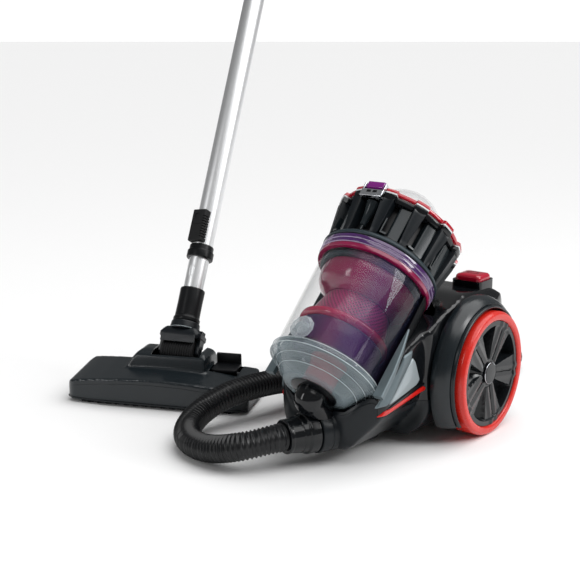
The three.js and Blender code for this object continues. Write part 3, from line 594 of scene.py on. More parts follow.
def block(low, high, matrix=MACHINE):
    (x0, y0, z0), (x1, y1, z1) = low, high
    return prism_object("cutter", [(x0, y0), (x1, y0), (x1, y1), (x0, y1)], z0, z1, matrix)


def hull_half(section, plan):
    side = prism_object("half", rounded(HULL_SIDE, 16, 4), -150, 150, MACHINE @ SIDE_PLANE)
    front = prism_object("cutter", rounded(both_sides(section), 12, 3), -400, 400, MACHINE @ FRONT_PLANE)
    above = prism_object("cutter", rounded(both_sides(plan), 12, 3), -50, 300, MACHINE)
    return combine(side, [front, above], "INTERSECT")


def make_hull():
    hull = hull_half(FRONT_SECTION, FRONT_PLAN)
    combine(hull, [hull_half(REAR_SECTION, REAR_PLAN)], "UNION")
    return soften(hull, 3.2, 9)


def bin_room(extra=0.0):
    radius = CRADLE_OUTER + 0.4 + extra
    room = rod_object("cutter", radius, bin_point(0, 0, -17.4), bin_point(0, 0, 151), MACHINE, segments=96)
    bowl = [(0, -46), (50, -44.6), (62.4, -32.6), (77.4, -19), (radius, -17.6), (radius, 4), (0, 4)]
    foot = make_object("cutter", *lathe_data(bowl, 96, closed=False), BIN)
    crown = rod_object("cutter", 98, bin_point(0, 0, 150), bin_point(0, 0, 340), MACHINE, segments=96)
    above = block((-200, -300, -60), (200, RIM_DEPTH, 150), BIN)
    return [room, foot, crown, above]


def copy_of(obj, name):
    made = obj.copy()
    made.data = obj.data.copy()
    made.name = name
    bpy.context.scene.collection.objects.link(made)
    return made


def make_body():
    """The body's skin, cut for the bin and split at its seam. Returns the whole form, for the trims to lie on."""
    form = make_hull()
    skin = copy_of(form, "skin")
    wall = skin.modifiers.new("wall", "SOLIDIFY")
    wall.thickness = 0.0026
    wall.offset = -1
    apply_all(skin)
    combine(skin, bin_room(), "DIFFERENCE")
    front = combine(copy_of(skin, "body_front"), [block((-200, -400, SPLIT_Z - 1), (200, -212.5, 300))], "INTERSECT")
    lower = combine(copy_of(skin, "body_lower"), [block((-200, -400, 0), (200, 400, SPLIT_Z))], "INTERSECT")
    combine(lower, [front], "UNION")
    upper = combine(skin, [block((-200, -212, SPLIT_Z + 0.5), (200, 400, 300))], "INTERSECT")
    upper.name = "body_upper"
    combine(lower, [block((-48.4, 140, 44), (48.4, 170, 90))], "DIFFERENCE")
    combine(upper, [block((-48.4, 140, 50), (48.4, 170, 116))], "DIFFERENCE")
    finish_mesh(lower, BODY_GREY, "canister", ["chassis"])
    finish_mesh(upper, GLOSS_BLACK, "canister", ["upper_housing"])
    rod_well = [(28, 12), (31, 12), (31, 40), (0, 40), (0, 36.4), (28, 36.4)]
    lathe("caster_well", rod_well, MACHINE @ Matrix.Translation((0, -145, 0)), BODY_GREY, "canister",
          ["chassis"], soft=0.6, closed=False)
    return form


def on_skin(form, y, z, side, lift):
    """The point of the body's skin at that height and length, lifted outwards."""
    start = MACHINE @ Vector((side * 200, y, z))
    hit, place, _, _ = form.ray_cast(start, Vector((-side, 0, 0)))
    x = (MACHINE.inverted() @ place).x if hit else side * 86
    return Vector((x + side * lift, y, z))


def skin_patch(name, form, outline, side, lift, material, nodes, ridge=0.0, cutters=()):
    """A trim that follows the body's skin under a side outline of (y, z) corners, raised along its middle by ridge."""
    corners = rounded(outline, 2.5, 3)
    centre = (sum(p[0] for p in corners) / len(corners), sum(p[1] for p in corners) / len(corners))
    rings = []
    for share in (1.0, 1.0, 0.93, 0.7, 0.4, 0.12):
        ring = []
        depth = -1.5 if not rings else lift * (0.45 if len(rings) == 1 else 1.0) + ridge * (1 - share)
        for y, z in corners:
            here = (centre[0] + (y - centre[0]) * share, centre[1] + (z - centre[1]) * share)
            ring.append(on_skin(form, here[0], here[1], side, depth))
        rings.append(ring)
    obj = make_object(name, *loft_data(rings), MACHINE)
    if cutters:
        combine(obj, cutters, "DIFFERENCE")
    return finish_mesh(obj, material, "canister", nodes, sharp=24)


TRIM_BAND = [(-216, 84), (-204, 104), (-166, 147), (-146, 151), (-150, 138), (-176, 112), (-199, 86)]
TRIM_WEDGE = [(-196, 86), (-172, 113), (-146, 140), (-138, 132), (-124, 104), (-130, 98), (-160, 92)]
BLACK_BAND = [(-198, 80.5), (-162, 88), (-118, 97.5), (-112, 96), (-112, 93.5), (-160, 83.5), (-196, 77.5)]
RED_STRIPE = [(-214, 72), (-204, 78.5), (-112, 91.5), (-110.5, 88), (-112, 84.5), (-204, 72)]


def make_trims(form):
    for name, side in (("left", 1), ("right", -1)):
        trim, stripe = f"{name}_side_trim", f"{name}_red_stripe"
        skin_patch(f"{name}_trim_band", form, TRIM_BAND, side, 2.0, SILVER, [trim], 0.6, bin_room(0.4))
        # The wedge is painted a paler silver than the band. This is painted light: the lit face of one silver trim.
        skin_patch(f"{name}_trim_wedge", form, TRIM_WEDGE, side, 1.6, SILVER_LIGHT, [trim], 1.2, bin_room(0.4))
        skin_patch(f"{name}_black_band", form, BLACK_BAND, side, 1.4, GLOSS_BLACK, [stripe], 0.4)
        skin_patch(f"{name}_stripe", form, RED_STRIPE, side, 2.2, RED, [stripe], 0.8)


def make_cradle():
    """The trough that the bin leans in, with silver cheeks along the lower part of its rim."""
    profile = [(81.6, -8.0), (CRADLE_OUTER, -9.0), (CRADLE_OUTER, 149.6), (81.6, 149.6)]
    lathe("cradle_trough", profile, BIN, SATIN_BLACK, "canister", ["bin_cradle"], soft=0.5,
          segments=96, arc=(8.0, 172.0))
    for name, side in (("left", 1), ("right", -1)):
        rings = []
        for z, far, low, high in ((-17, 96.4, -5.5, 2), (20, 95.6, -5.0, 2), (60, 91, -3.5, 1), (92, 84.6, -1.5, 0)):
            section = [(82.4, low), (far - 1.4, low), (far, low + 1.0), (far, high), (82.4, high)]
            rings.append([(side * x, RIM_DEPTH + y, z) for x, y in section][::side])
        cheek = make_object(f"{name}_cradle_cheek", *loft_data(rings), BIN)
        finish_mesh(cheek, SILVER, "canister", ["bin_cradle"], sharp=30)


def make_saddle(form):
    """The dark socket under the bin's foot, trimmed where it meets the skin."""
    profile = [
        (37, -42), (48, -40.5), (59, -29.5), (73, -16), (80, -13.4), (82.6, -13.4), (82.6, -17), (77, -18.5),
        (62, -32), (50, -44), (37, -45.4),
    ]
    saddle = make_object("foot_saddle", *lathe_data(profile, 96, arc=(-20.0, 200.0)), BIN)
    combine(saddle, [copy_of(form, "cutter")], "INTERSECT")
    finish_mesh(saddle, BODY_GREY, "canister", ["bin_cradle"], sharp=40)


def make_inlet():
    nose = [
        (20.8, 0), (29.6, 0), (30.5, -1.2), (30.5, -14.6), (29.8, -15.2), (29.8, -16.2), (30.5, -16.8), (30.8, -62),
        (20.8, -54),
    ]
    lathe("inlet_nose", nose, INLET, BODY_GREY, "canister", ["inlet_duct"], soft=0.6)
    elbow_at, heel = bin_point(0, 0, -46), Vector((4, -226, 50))
    elbow = rod_object("inlet_elbow", 22, bin_point(0, 0, -35.6), elbow_at, MACHINE)
    ball = make_object("cutter", *lathe_data([(22 * math.sin(math.pi * i / 16), -22 * math.cos(math.pi * i / 16))
                                              for i in range(17)], 48, closed=False),
                       MACHINE @ Matrix.Translation(elbow_at))
    leg = rod_object("cutter", 21, elbow_at, heel, MACHINE)
    combine(elbow, [ball, leg], "UNION")
    soften(elbow, 1.6, 8)
    combine(elbow, [rod_object("cutter", 31, (0, 0, 0.2), (0, 0, 26), INLET)], "DIFFERENCE")
    finish_mesh(elbow, GLOSS_BLACK, "canister", ["inlet_duct"], sharp=60)
    flare = [(22.4, -38), (26, -37.6), (33, -36.2), (33.6, -35.4), (23, -35.4)]
    lathe("inlet_collar", flare, BIN, GLOSS_BLACK, "canister", ["inlet_duct"], soft=0.8)


# ---------------------------------------------------------------- wheels


def wheel_frame(side):
    """Z runs out of the machine along the axle, and Y is up."""
    return MACHINE @ Matrix((
        (0, 0, side, 0), (side, 0, 0, 0), (0, 1, 0, WHEEL_Z), (0, 0, 0, 1),
    ))


def hub_height(r, angle, side):
    """The hub's face: a dished disc with five pockets, a groove along each blade and a raised cap."""
    if r <= 14.2:
        return 133.0 - 0.4 * (r / 14.2) ** 2
    height = 128.4 + (min(r, 66) - 14) * 0.075
    if r > 66:
        height = min(134.2, 132.3 + (r - 66) * 0.9)
    if r < 16.2:
        height -= 1.6
    turn = math.radians(27 if side > 0 else 153)
    part = math.tau / 5
    off = (angle - turn + part / 2) % part - part / 2
    u, v = r * math.cos(off), r * math.sin(off) * side
    wide = 2.5 + max(0.0, u - 20) * 0.37
    inside = min(wide - abs(v), u - 20, 68 - r)
    if inside > 0 and u > 0:
        steep = min(1.0, inside / 1.6)
        slope = min(1.0, (wide - v) / 11.0) if v > 0 else 1.0
        ramp = min(1.0, max(0.0, (u - 20) / 15.0)) ** 0.7
        height -= 15.0 * steep * ramp * (0.25 + 0.75 * slope)
    else:
        blade = (angle - turn) % part - part / 2
        across = abs(r * math.sin(blade))
        if r > 20:
            height += 1.5 * max(0.0, 1 - abs(across - 7) / 7)
        if across < 1.1 and 19 < r < 64:
            height -= 1.6
    return height


def make_hub(name, side):
    radii = [0] + [14.2 * i / 6 for i in range(1, 7)] + [14.6, 16.0, 16.6]
    radii += [16.6 + 57.4 * i / 60 for i in range(1, 61)] + [74.6]
    turns = 340
    grow = 76.6 / 75
    verts, faces = [], []
    for r in radii:
        for j in range(turns):
            a = math.tau * j / turns
            verts.append((grow * r * math.cos(a), grow * r * math.sin(a), hub_height(r, a, side)))
    for r, h in ((76.6, 133.2), (76.6, 106), (10, 106)):
        for j in range(turns):
            a = math.tau * j / turns
            verts.append((r * math.cos(a), r * math.sin(a), h))
    rings = len(radii) + 3
    for i in range(rings - 1):
        for j in range(turns):
            k = (j + 1) % turns
            faces.append([i * turns + j, i * turns + k, (i + 1) * turns + k, (i + 1) * turns + j])
    obj = make_object(f"{name}_hub_face", verts, faces, wheel_frame(side))
    finish_mesh(obj, HUB_BLACK, f"{name}_wheel", [f"{name}_wheel_hub"], sharp=38)
    ring = [(15.0, 130.2), (15.8, 131.4), (15.4, 132.2), (14.6, 131.4)]
    lathe(f"{name}_hub_ring", ring, wheel_frame(side), CHROME, f"{name}_wheel", soft=0.3)


def make_wheels():
    tyre = [(77, 105), (87.6, 105), (90, 107.4), (90, 132.5), (87.8, 136.8), (85, 137.5), (79.6, 137.2), (77, 135.4)]
    fender = [
        (93, 96.4), (110, 96.4), (110, 103), (108.6, 110), (105, 117), (99.4, 122.4), (98.4, 120.8), (97.6, 120.8),
        (97.4, 126.4), (95.8, 127.6), (93.4, 126.8),
    ]
    for name, side in (("left", 1), ("right", -1)):
        place = wheel_frame(side)
        lathe(f"{name}_tyre_ring", tyre, place, WHEEL_RED, f"{name}_wheel", [f"{name}_tyre"], soft=1.3, segments=160)
        make_hub(name, side)
        arch = make_object(f"{name}_fender_arch", *lathe_data(rounded(fender, 2.2, 4), 160), place)
        combine(arch, [block((-200, -200, -50), (200, 200, 27.5))], "DIFFERENCE")
        finish_mesh(arch, FENDER_GREY, "canister", [f"{name}_fender"], sharp=40)


# ---------------------------------------------------------------- pedals


PEDAL_X, PEDAL_Y = 55, 80
PEDAL_FOOT = 197


def make_pedals():
    outline = rounded([(-21, -19), (21, -19), (21, 19), (-21, 19)], 7, 6)
    levels = ((1.0, 4.2), (1.0, 10.4), (0.97, 13.0), (0.88, 15.2), (0.6, 16.2), (0.05, 16.6))
    for name, side in (("power", 1), ("rewind", -1)):
        x = side * PEDAL_X
        rings = [[(x + u * share, PEDAL_Y + v * share, PEDAL_FOOT + z) for u, v in outline] for share, z in levels]
        cap = make_object(f"{name}_pedal_cap", *loft_data(rings), MACHINE)
        finish_mesh(cap, PEDAL_RED, f"{name}_button", [f"{name}_pedal"], sharp=50)
        mark = [(8.6, 15.4), (9.6, 15.4), (9.6, 16.7), (8.6, 16.7)]
        place = MACHINE @ Matrix.Translation((x, PEDAL_Y, PEDAL_FOOT)) @ Matrix.Diagonal((1.0, 0.62, 1, 1))
        lathe(f"{name}_pedal_mark", mark, place, SATIN_BLACK, f"{name}_button", soft=0.3)
        low = (x - 24.4, PEDAL_Y - 22.4, PEDAL_FOOT - 21)
        high = (x + 24.4, PEDAL_Y + 22.4, PEDAL_FOOT + 7.4)
        frame_wall(f"{name}_pedal_base", low, high, 2.8)


def frame_wall(name, low, high, wall):
    """The upright collar that a pedal sinks into."""
    (x0, y0, z0), (x1, y1, z1) = low, high
    corners = [(x0, y0), (x1, y0), (x1, y1), (x0, y1)]
    outer = rounded(corners, 8, 6)
    inner = [((x - (x0 + x1) / 2) * (1 - wall / 24) + (x0 + x1) / 2, (y - (y0 + y1) / 2) * (1 - wall / 22) + (y0 + y1) / 2)
             for x, y in outer]
    rings = [
        [(x, y, z0) for x, y in outer], [(x, y, z1 - 1.2) for x, y in outer], [(x, y, z1) for x, y in outer],
        [(x, y, z1) for x, y in inner], [(x, y, z1 - 11) for x, y in inner],
    ]
    obj = make_object(name, *loft_data(rings), MACHINE)
    return finish_mesh(obj, GLOSS_BLACK, "canister", ["upper_housing"])

# ---------------------------------------------------------------- the bin and its cyclone


def wrap_around(obj, matrix, per_turn, per_mm):
    """Writes how far round the axis and how high each corner lies, for patterns wound round a piece."""
    back = matrix.inverted()
    layer = obj.data.uv_layers.new(name="around")
    for face in obj.data.polygons:
        turns = []
        for index in face.loop_indices:
            p = back @ obj.data.vertices[obj.data.loops[index].vertex_index].co
            turns.append((index, math.atan2(p.y, p.x) / math.tau, p.z))
        low = min(t for _, t, _ in turns)
        for index, turn, height in turns:
            if turn - low > 0.5:
                turn -= 1
            layer.data[index].uv = (turn * per_turn, height * per_mm)


def make_bin():
    wall = [(73.2, 0.6), (75.3, 0.6), (79.3, 149), (77.0, 149)]
    lathe("bin_wall", wall, BIN, CLEAR, "bin", ["bin_body"], soft=0.4, segments=128)
    bands = (
        ("upper", 163.8, 169.0, 86.0, PURPLE_RING), ("line", 162.6, 163.6, 86.0, LAVENDER),
        ("middle", 157.2, 162.4, 85.2, PURPLE_RING), ("bead", 156.2, 157.0, 85.6, LAVENDER),
        ("lower", 149.8, 156.0, 84.4, WINE),
    )
    for name, low, high, radius, material in bands:
        ring = [(77.6, low), (radius - 0.5, low), (radius, low + 0.4), (radius, high - 0.4), (radius - 0.5, high), (77.6, high)]
        lathe(f"bin_flange_{name}", ring, BIN, material, "bin", ["bin_body"], soft=0.3, segments=128)
    seal = [(70, 141.5), (75.6, 141.5), (76.2, 142.2), (76.2, 147), (75.4, 147.8), (70, 147.8)]
    lathe("bin_seal", seal, BIN, SEAL, "bin", ["bin_seal_ring"], soft=0.4)
    foot_seal = [(70.6, 1.0), (72.8, 1.0), (72.8, 5.4), (70.6, 5.4)]
    lathe("bin_foot_seal", foot_seal, BIN, SEAL, "bin", soft=0.4)
    bowl = [
        (23.4, -35), (44, -35), (46.5, -34), (56, -24.4), (58.6, -23.4), (61, -19.6), (70, -11), (73, -9),
        (78.5, -8), (79, -6.6), (79, -0.6), (78, 0), (73.5, 0), (71.6, -3.4), (60, -15.4), (45, -31.6), (23.4, -32),
    ]
    lathe("bin_bowl", bowl, BIN, CLEAR_CAP, "bin", ["bin_door"], soft=0.9, segments=128)
    # Thin pale rings along the bowl's edges: painted highlights where its clear edges catch the light.
    for i, (r, h, thick) in enumerate(((79.2, -0.4, 0.55), (79.0, -7.4, 0.5), (66.4, -14.6, 0.35), (57.8, -24.2, 0.35))):
        bead = [(r + thick * math.cos(math.tau * k / 10), h + thick * math.sin(math.tau * k / 10)) for k in range(10)]
        lathe(f"bowl_line_{i}", bead, BIN, CLEAR_EDGE_HIGHLIGHT, "bin", soft=0, segments=128)
    cone = [
        (46, 103), (48.4, 103.2), (54, 106), (62, 111.6), (67.6, 118.6), (70, 126), (70.6, 133), (70.6, 141.2), (46, 141.2),
    ]
    lathe("cyclone_bell", cone, BIN, WINE, "bin", ["cyclone_cone"], soft=2.0)
    holes = lathe("cyclone_sieve", [(41, 63.4), (57.6, 63.4), (55.4, 70), (51.8, 84), (48.6, 96), (46.6, 102.8), (41, 102.8)], BIN,
                  WINE_HOLES, "bin", ["cyclone_shroud"], soft=0.6, segments=120)
    wrap_around(holes, BIN, 54 * math.sqrt(2), 0.23)
    skirt = [(30, 50.6), (61, 50.6), (65.4, 52.6), (66.2, 56), (65.4, 60), (61, 62.8), (30, 63)]
    lathe("cyclone_band", skirt, BIN, SKIRT_PINK, "bin", ["cyclone_skirt"], soft=1.6)
    pot = [(27, 12), (54, 13), (58, 16), (61, 50), (58.8, 50), (56, 18.4), (52, 15.6), (27, 15)]
    lathe("collector_pot", pot, BIN, PURPLE_DUSK, "bin", ["dust_collector"], soft=1.2)
    riser = [
        (18, -34.4), (22.8, -34.4), (22.8, -4), (24, 2), (26.4, 10), (26.4, 50), (22, 50), (22, 10), (19.4, 2), (18, -4),
    ]
    lathe("inlet_pipe", riser, BIN, RISER_RED, "bin", ["inlet_riser"], soft=1.2)
    lathe("filter_core", [(0, 20), (17, 20), (17, 62), (0, 62)], BIN, PURPLE_DUSK, "bin", soft=1.0, closed=False)


def make_knob():
    """A faceted clear knob."""
    place = BIN @ Matrix.Translation((0, -82.8, 10)) @ Matrix.Rotation(math.radians(90), 4, "X")
    profile = [(0, 0), (11, 0), (14.6, 1.4), (17, 4.6), (16.4, 7.6), (13, 10.2), (7.6, 11.6), (0, 12)]
    lathe("knob_crystal", profile, place, CLEAR_KNOB, "bin_knob", ["door_latch_knob"], soft=0, segments=11,
          closed=False, sharp=4)
    inner = [(0, 1), (7, 1), (10, 4), (8, 8), (3, 9.6), (0, 9.8)]
    lathe("knob_heart", inner, place, CLEAR_KNOB, "bin_knob", soft=0, segments=7, closed=False, sharp=4)


def scallop(angle, high, low, start=5.9, blend=0.8):
    """A radius that is high over each fin and low between the fins. Fins stand at 15 degrees and every 30 after."""
    off = abs((math.degrees(angle) - 15 + 15) % 30 - 15)
    share = min(1.0, max(0.0, (off - start) / blend))
    share = share * share * (3 - 2 * share)
    return high + (low - high) * share


def scalloped_ring(name, profile, depth):
    """A ring whose outer corners, marked by a third value of 1, step in by depth between the fins."""
    turns = 360
    verts, faces = [], []
    for j in range(turns):
        a = math.tau * j / turns
        for r, h, outer in profile:
            radius = scallop(a, r, r - depth) if outer else r
            verts.append((radius * math.cos(a), radius * math.sin(a), h))
    count = len(profile)
    for j in range(turns):
        k = (j + 1) % turns
        for i in range(count):
            n = (i + 1) % count
            faces.append([j * count + i, k * count + i, k * count + n, j * count + n])
    return make_object(name, verts, faces, BIN)


def notch():
    return prism_object("cutter", [(-18.2, -120), (18.2, -120), (18.2, -78), (-18.2, -78)], 225, 262, BIN)


def crown_fin(turn):
    """One fin: a broad block, narrower at its foot, with a hollowed outer face."""
    outline = rounded([(66, 172.5), (84.6, 172.5), (85.4, 184), (93, 229), (93, 233), (66, 233)], 1.6, 3)
    rings = []
    for share, sink in ((-1.0, 1.0), (-0.93, 0.0), (-0.5, 1.0), (0.0, 1.5), (0.5, 1.0), (0.93, 0.0), (1.0, 1.0)):
        ring = []
        for r, h in outline:
            half = 4.6 + 4.6 * (h - 172.5) / 60
            ring.append(turn @ Vector((half * share, r - sink * (r - 66) / 27, h)))
        rings.append([tuple(p) for p in ring])
    return loft_data(rings)


def merge_into(verts, faces, more):
    base = len(verts)
    verts.extend(more[0])
    faces.extend([[i + base for i in face] for face in more[1]])


BUTTON_RECESS = 6  # counted from the back of the bin


def make_crown():
    core = [
        (52, 169.6), (84.6, 169.6), (85.2, 171.4), (84.6, 174), (82, 177), (80.6, 181.4), (75, 184.6), (72.4, 190),
        (73.6, 226), (74, 230), (52, 230),
    ]
    lathe("crown_core", core, BIN, SATIN_BLACK, "bin", ["cyclone_crown"], soft=1.2, segments=144)
    collar = [(85.4, 170.4), (87.0, 171.2), (87.2, 173.6), (85.2, 176.4), (82.4, 178.6), (82.0, 174)]
    lathe("crown_collar", collar, BIN, SEAL, "bin", soft=0.7, segments=144)
    top = [(52, 230.4, 0), (88, 230.4, 0), (92.6, 231.6, 1), (94, 234.6, 1), (94, 238.8, 1), (52, 238.8, 0)]
    ring = scalloped_ring("crown_top", top, 6.5)
    combine(ring, [notch()], "DIFFERENCE")
    finish_mesh(ring, GLOSS_BLACK, "bin", ["cyclone_crown"], sharp=40)
    verts, faces = [], []
    legs, leg_faces = [], []
    panels, panel_faces = [], []
    for i in range(12):
        merge_into(verts, faces, crown_fin(Matrix.Rotation(math.radians(30 * (i + 0.5)), 3, "Z")))
        recess = Matrix.Rotation(math.radians(30 * i), 4, "Z")
        if i == BUTTON_RECESS:
            cone = [
                (0, 180), (2.4, 180), (2.6, 187), (4.4, 187.6), (4.8, 190), (6.0, 203), (6.4, 203.6), (8.4, 214),
                (8.9, 214.6), (11.4, 226), (11.6, 230.2), (0, 230.2),
            ]
            cone_verts, cone_faces = lathe_data(cone, 28, closed=False)
            place = recess @ Matrix.Translation((0, 79.5, 0))
            merge_into(legs, leg_faces, ([tuple(place @ Vector(v)) for v in cone_verts], cone_faces))
            continue
        section = rounded([(-15.6, 70), (-14.4, 80.6), (2.6, 80.2), (5.4, 70)], 2.4, 4)
        rings = []
        for grow, h in ((0.0, 180.0), (0.0, 184.0), (3.4, 229.4)):
            rings.append([tuple(recess @ Vector((x * (1 + grow / 60), y + grow * (y > 75), h))) for x, y in section])
        merge_into(panels, panel_faces, loft_data(rings))
        for x0, x1, z0, z1 in ((12.0, 13.6, 184, 206), (4.6, 13.6, 181.6, 184.2)):
            outline = [(x0, 74), (x1, 74), (x1, 83.4), (x0, 83.4)]
            rib = loft_data([[tuple(recess @ Vector((x, y, z))) for x, y in outline] for z in (z0, z1)])
            merge_into(legs, leg_faces, rib)
    walls = make_object("crown_panels", panels, panel_faces, BIN)
    finish_mesh(walls, SMOKE, "bin", ["cyclone_crown"], sharp=30)
    fins = make_object("crown_fins", verts, faces, BIN)
    combine(fins, [notch()], "DIFFERENCE")
    finish_mesh(fins, BODY_GREY, "bin", ["cyclone_crown"], sharp=26)
    cones = make_object("crown_cones", legs, leg_faces, BIN)
    combine(cones, [notch()], "DIFFERENCE")
    finish_mesh(cones, SMOKE, "bin", ["cyclone_crown"], sharp=30)
    strip = scalloped_ring("crown_strip", [(70, 239.0, 0), (94.4, 239.0, 1), (94.6, 241.0, 1), (70, 241.0, 0)], 9.0)
    combine(strip, [notch()], "DIFFERENCE")
    finish_mesh(strip, WHITE_STRIP, "bin", ["crown_rim"], sharp=40)
    caps = [(62, 241.2, 0), (94.2, 241.2, 1), (94.9, 243.6, 1), (94, 246.2, 1), (90.6, 247.4, 1), (62, 247.4, 0)]
    rim = scalloped_ring("crown_caps", caps, 4.5)
    combine(rim, [notch()], "DIFFERENCE")
    finish_mesh(rim, RIM_RED, "bin", ["crown_rim"], sharp=40)


def make_lid():
    bars = [
        ((-17.5, -98, 226.6), (17.5, -80, 238)), ((-17.5, -98, 238), (-15.2, -80, 248.6)),
        ((15.2, -98, 238), (17.5, -80, 248.6)), ((-17.5, -82.2, 238), (17.5, -80, 249.4)),
    ]
    for i, (low, high) in enumerate(bars):
        rounded_box(f"lid_frame_{i}", low, high, BIN, CHROME, "bin", ["lid_button_frame"], edge=0.6)
    for i, x in enumerate((-8.4, 1.4)):
        rounded_box(f"lid_slot_{i}", (x, -98.4, 232), (x + 7, -97.6, 236), BIN, GLOSS_BLACK, "bin", edge=0.15)
    rounded_box("lid_button_cap", (-14.1, -97.4, 241.6), (14.1, -82.6, 252), BIN, BUTTON_PURPLE, "lid_release",
                ["lid_button"], edge=1.6)
    base = 246.4
    outer = [(57 * math.cos(a), base + 1 + 57 * math.sin(a)) for a in (math.pi / 2 * i / 14 for i in range(1, 15))]
    inner = [(54.6 * math.cos(a), base + 1 + 54.6 * math.sin(a)) for a in (math.pi / 2 * i / 14 for i in range(1, 15))]
    outer[-1], inner[-1] = (0, outer[-1][1]), (0, inner[-1][1])
    shell = inner[::-1] + [(54.6, base), (61, base), (61, base + 3.4), (58, base + 4.2)] + outer
    lathe("dome_shell", shell, BIN, CLEAR_DOME, "dome", ["dome_lid"], soft=0, segments=128, closed=False)
    rounded_box("dome_lug", (-9, 59, base), (9, 68, base + 5), BIN, CLEAR_DOME, "dome", ["dome_lid"], edge=0.8)
    turns = 288
    verts, faces = [], []
    levels = [(20, 251, 0.0), (21, 252.4, 1.0), (50, 251.6, 1.0), (51.6, 249.6, 0.6), (51.8, 240, 0.4)]
    for j in range(turns):
        a = math.tau * j / turns
        fold = (abs((j / turns * 48) % 1 - 0.5) * 4 - 1) * 2.0
        for r, h, share in levels:
            verts.append((r * math.cos(a), r * math.sin(a), h + fold * share))
    for j in range(turns):
        k = (j + 1) % turns
        for i in range(len(levels) - 1):
            faces.append([j * 5 + i, k * 5 + i, k * 5 + i + 1, j * 5 + i + 1])
    pleats = make_object("filter_pleats", verts, faces, BIN)
    finish_mesh(pleats, FILTER, "bin", ["premotor_filter"], sharp=20)
    cap = [(0, 240), (20.6, 240), (20.6, 254), (18, 255.4), (0, 255.4)]
    lathe("filter_cap", cap, BIN, PEDAL_RED, "bin", ["premotor_filter"], soft=0.8, closed=False)


# ---------------------------------------------------------------- cuff and handle

LATCH_TURN = math.radians(35)


def make_cuff():
    sleeve = [
        (17, -17.6), (20.3, -17.6), (20.3, 0.8), (27.4, 1.0), (28.5, 2.4), (28.5, 15.6), (27.8, 17.2), (26.2, 17.8),
        (25.8, 19.0), (25.2, 25.0), (24.4, 25.6), (24.4, 26.8), (24.9, 27.4), (23.0, 40.4), (23.4, 41.2), (23.4, 44.6),
        (22.4, 45.8), (17, 45.8),
    ]
    lathe("cuff_sleeve", sleeve, INLET, GLOSS_BLACK, "cuff", ["hose_cuff"], soft=0.7)
    place = INLET @ Matrix.Rotation(LATCH_TURN, 4, "Z")
    rounded_box("cuff_button", (25.8, -5.4, 3.6), (29.4, 5.4, 14.4), place, SATIN_BLACK, "latch", ["cuff_latch"],
                edge=0.7)
    for i, turn in enumerate((0, 1)):
        rounded_box(f"cuff_lug_{i}", (28.0, -5.2, 4.4), (29.2, 5.2, 13.6),
                    INLET @ Matrix.Rotation(LATCH_TURN + math.radians(95 + 120 * turn), 4, "Z"), SATIN_BLACK, "cuff",
                    edge=0.4)


def make_handle():
    end = Vector((-300, 500, 20))
    socket = [(0, 0.8), (18.6, 0.8), (19.6, 2), (19.6, 12), (18.8, 13), (18.8, 15), (19.6, 16), (19.4, 30), (17.6, 37),
              (0, 37)]
    along_x = MACHINE @ Matrix.Translation(end) @ Matrix.Rotation(math.radians(90), 4, "Y")
    lathe("handle_socket", socket, along_x, SATIN_BLACK, "canister", ["hose_handle"], soft=0.8, closed=False)
    line = centripetal([end + Vector(p) for p in ((30, 0, 0), (90, -4, 0), (150, -26, 0), (215, -70, 0))])
    steps = even_steps(line, 4.0)
    radii = [17.3 - 0.8 * math.sin(math.pi * i / (len(steps) - 1)) for i in range(len(steps))]
    verts, faces = sweep(steps, radii, 36)
    grip = make_object("handle_grip", verts, faces, MACHINE)
    finish_mesh(grip, SATIN_BLACK, "canister", ["hose_handle"], sharp=40)
    spigot_turn = Vector((24, -17, 0)).to_track_quat("Z", "Y").to_matrix().to_4x4()
    nose = [(0, 0), (18.4, 0), (19.4, 1.2), (19.4, 27), (18.6, 28.4), (14.4, 28.6), (14.4, 16), (0, 16)]
    place = MACHINE @ Matrix.Translation(end + Vector((192, -54, 0))) @ spigot_turn
    lathe("handle_mouth", nose, place, GLOSS_BLACK, "canister", ["hose_handle"], soft=0.6, closed=False)
    turn = MACHINE @ Matrix.Translation(end + Vector((74, -2, 38))) @ Matrix.Rotation(-0.1, 4, "Z")
    rounded_box("airflow_slide", (-8, -7, 0), (8, 7, 3.4), turn, BODY_GREY, "airflow_slider", ["suction_slider"],
                edge=1.0)


# ---------------------------------------------------------------- floor head

HEAD_SIDE = [(-60, 6), (-60, 50), (-16, 56), (26, 56), (46, 46), (58, 30), (58, 6)]
HEAD_PLAN = [(80, -60), (136, -54), (147, -44), (147, 30), (136, 52), (90, 58)]
HEAD_ARCH = [(147, -40), (147, 31), (126, 37), (90, 42), (48, 45.5), (12, 46.5)]
ARCH_RISE = 0.12
HUMP_SIDE = [(-14, 30), (-14, 54), (-8, 72), (6, 78), (36, 78), (53, 60), (56, 30)]
HUMP_FRONT = [(-66, 30), (-60, 56), (-46, 74), (-38, 78), (60, 78), (68, 72), (69, 56), (69, 30)]
SEAM_DROP = 7.0


def lip_point(x, drop, out):
    """A point on the head's front face, so far below its arched lip and so far out of the face."""
    shape = both_sides(HEAD_ARCH)
    points = sorted(point for point in shape if point[1] > 0)
    height = points[0][1]
    for (x0, z0), (x1, z1) in zip(points, points[1:]):
        if x0 <= x <= x1 and x1 > x0:
            height = z0 + (z1 - z0) * (x - x0) / (x1 - x0)
    edge = 60 if abs(x) <= 80 else 60 - 6 * (abs(x) - 80) / 56
    return x, -edge - out, height - drop


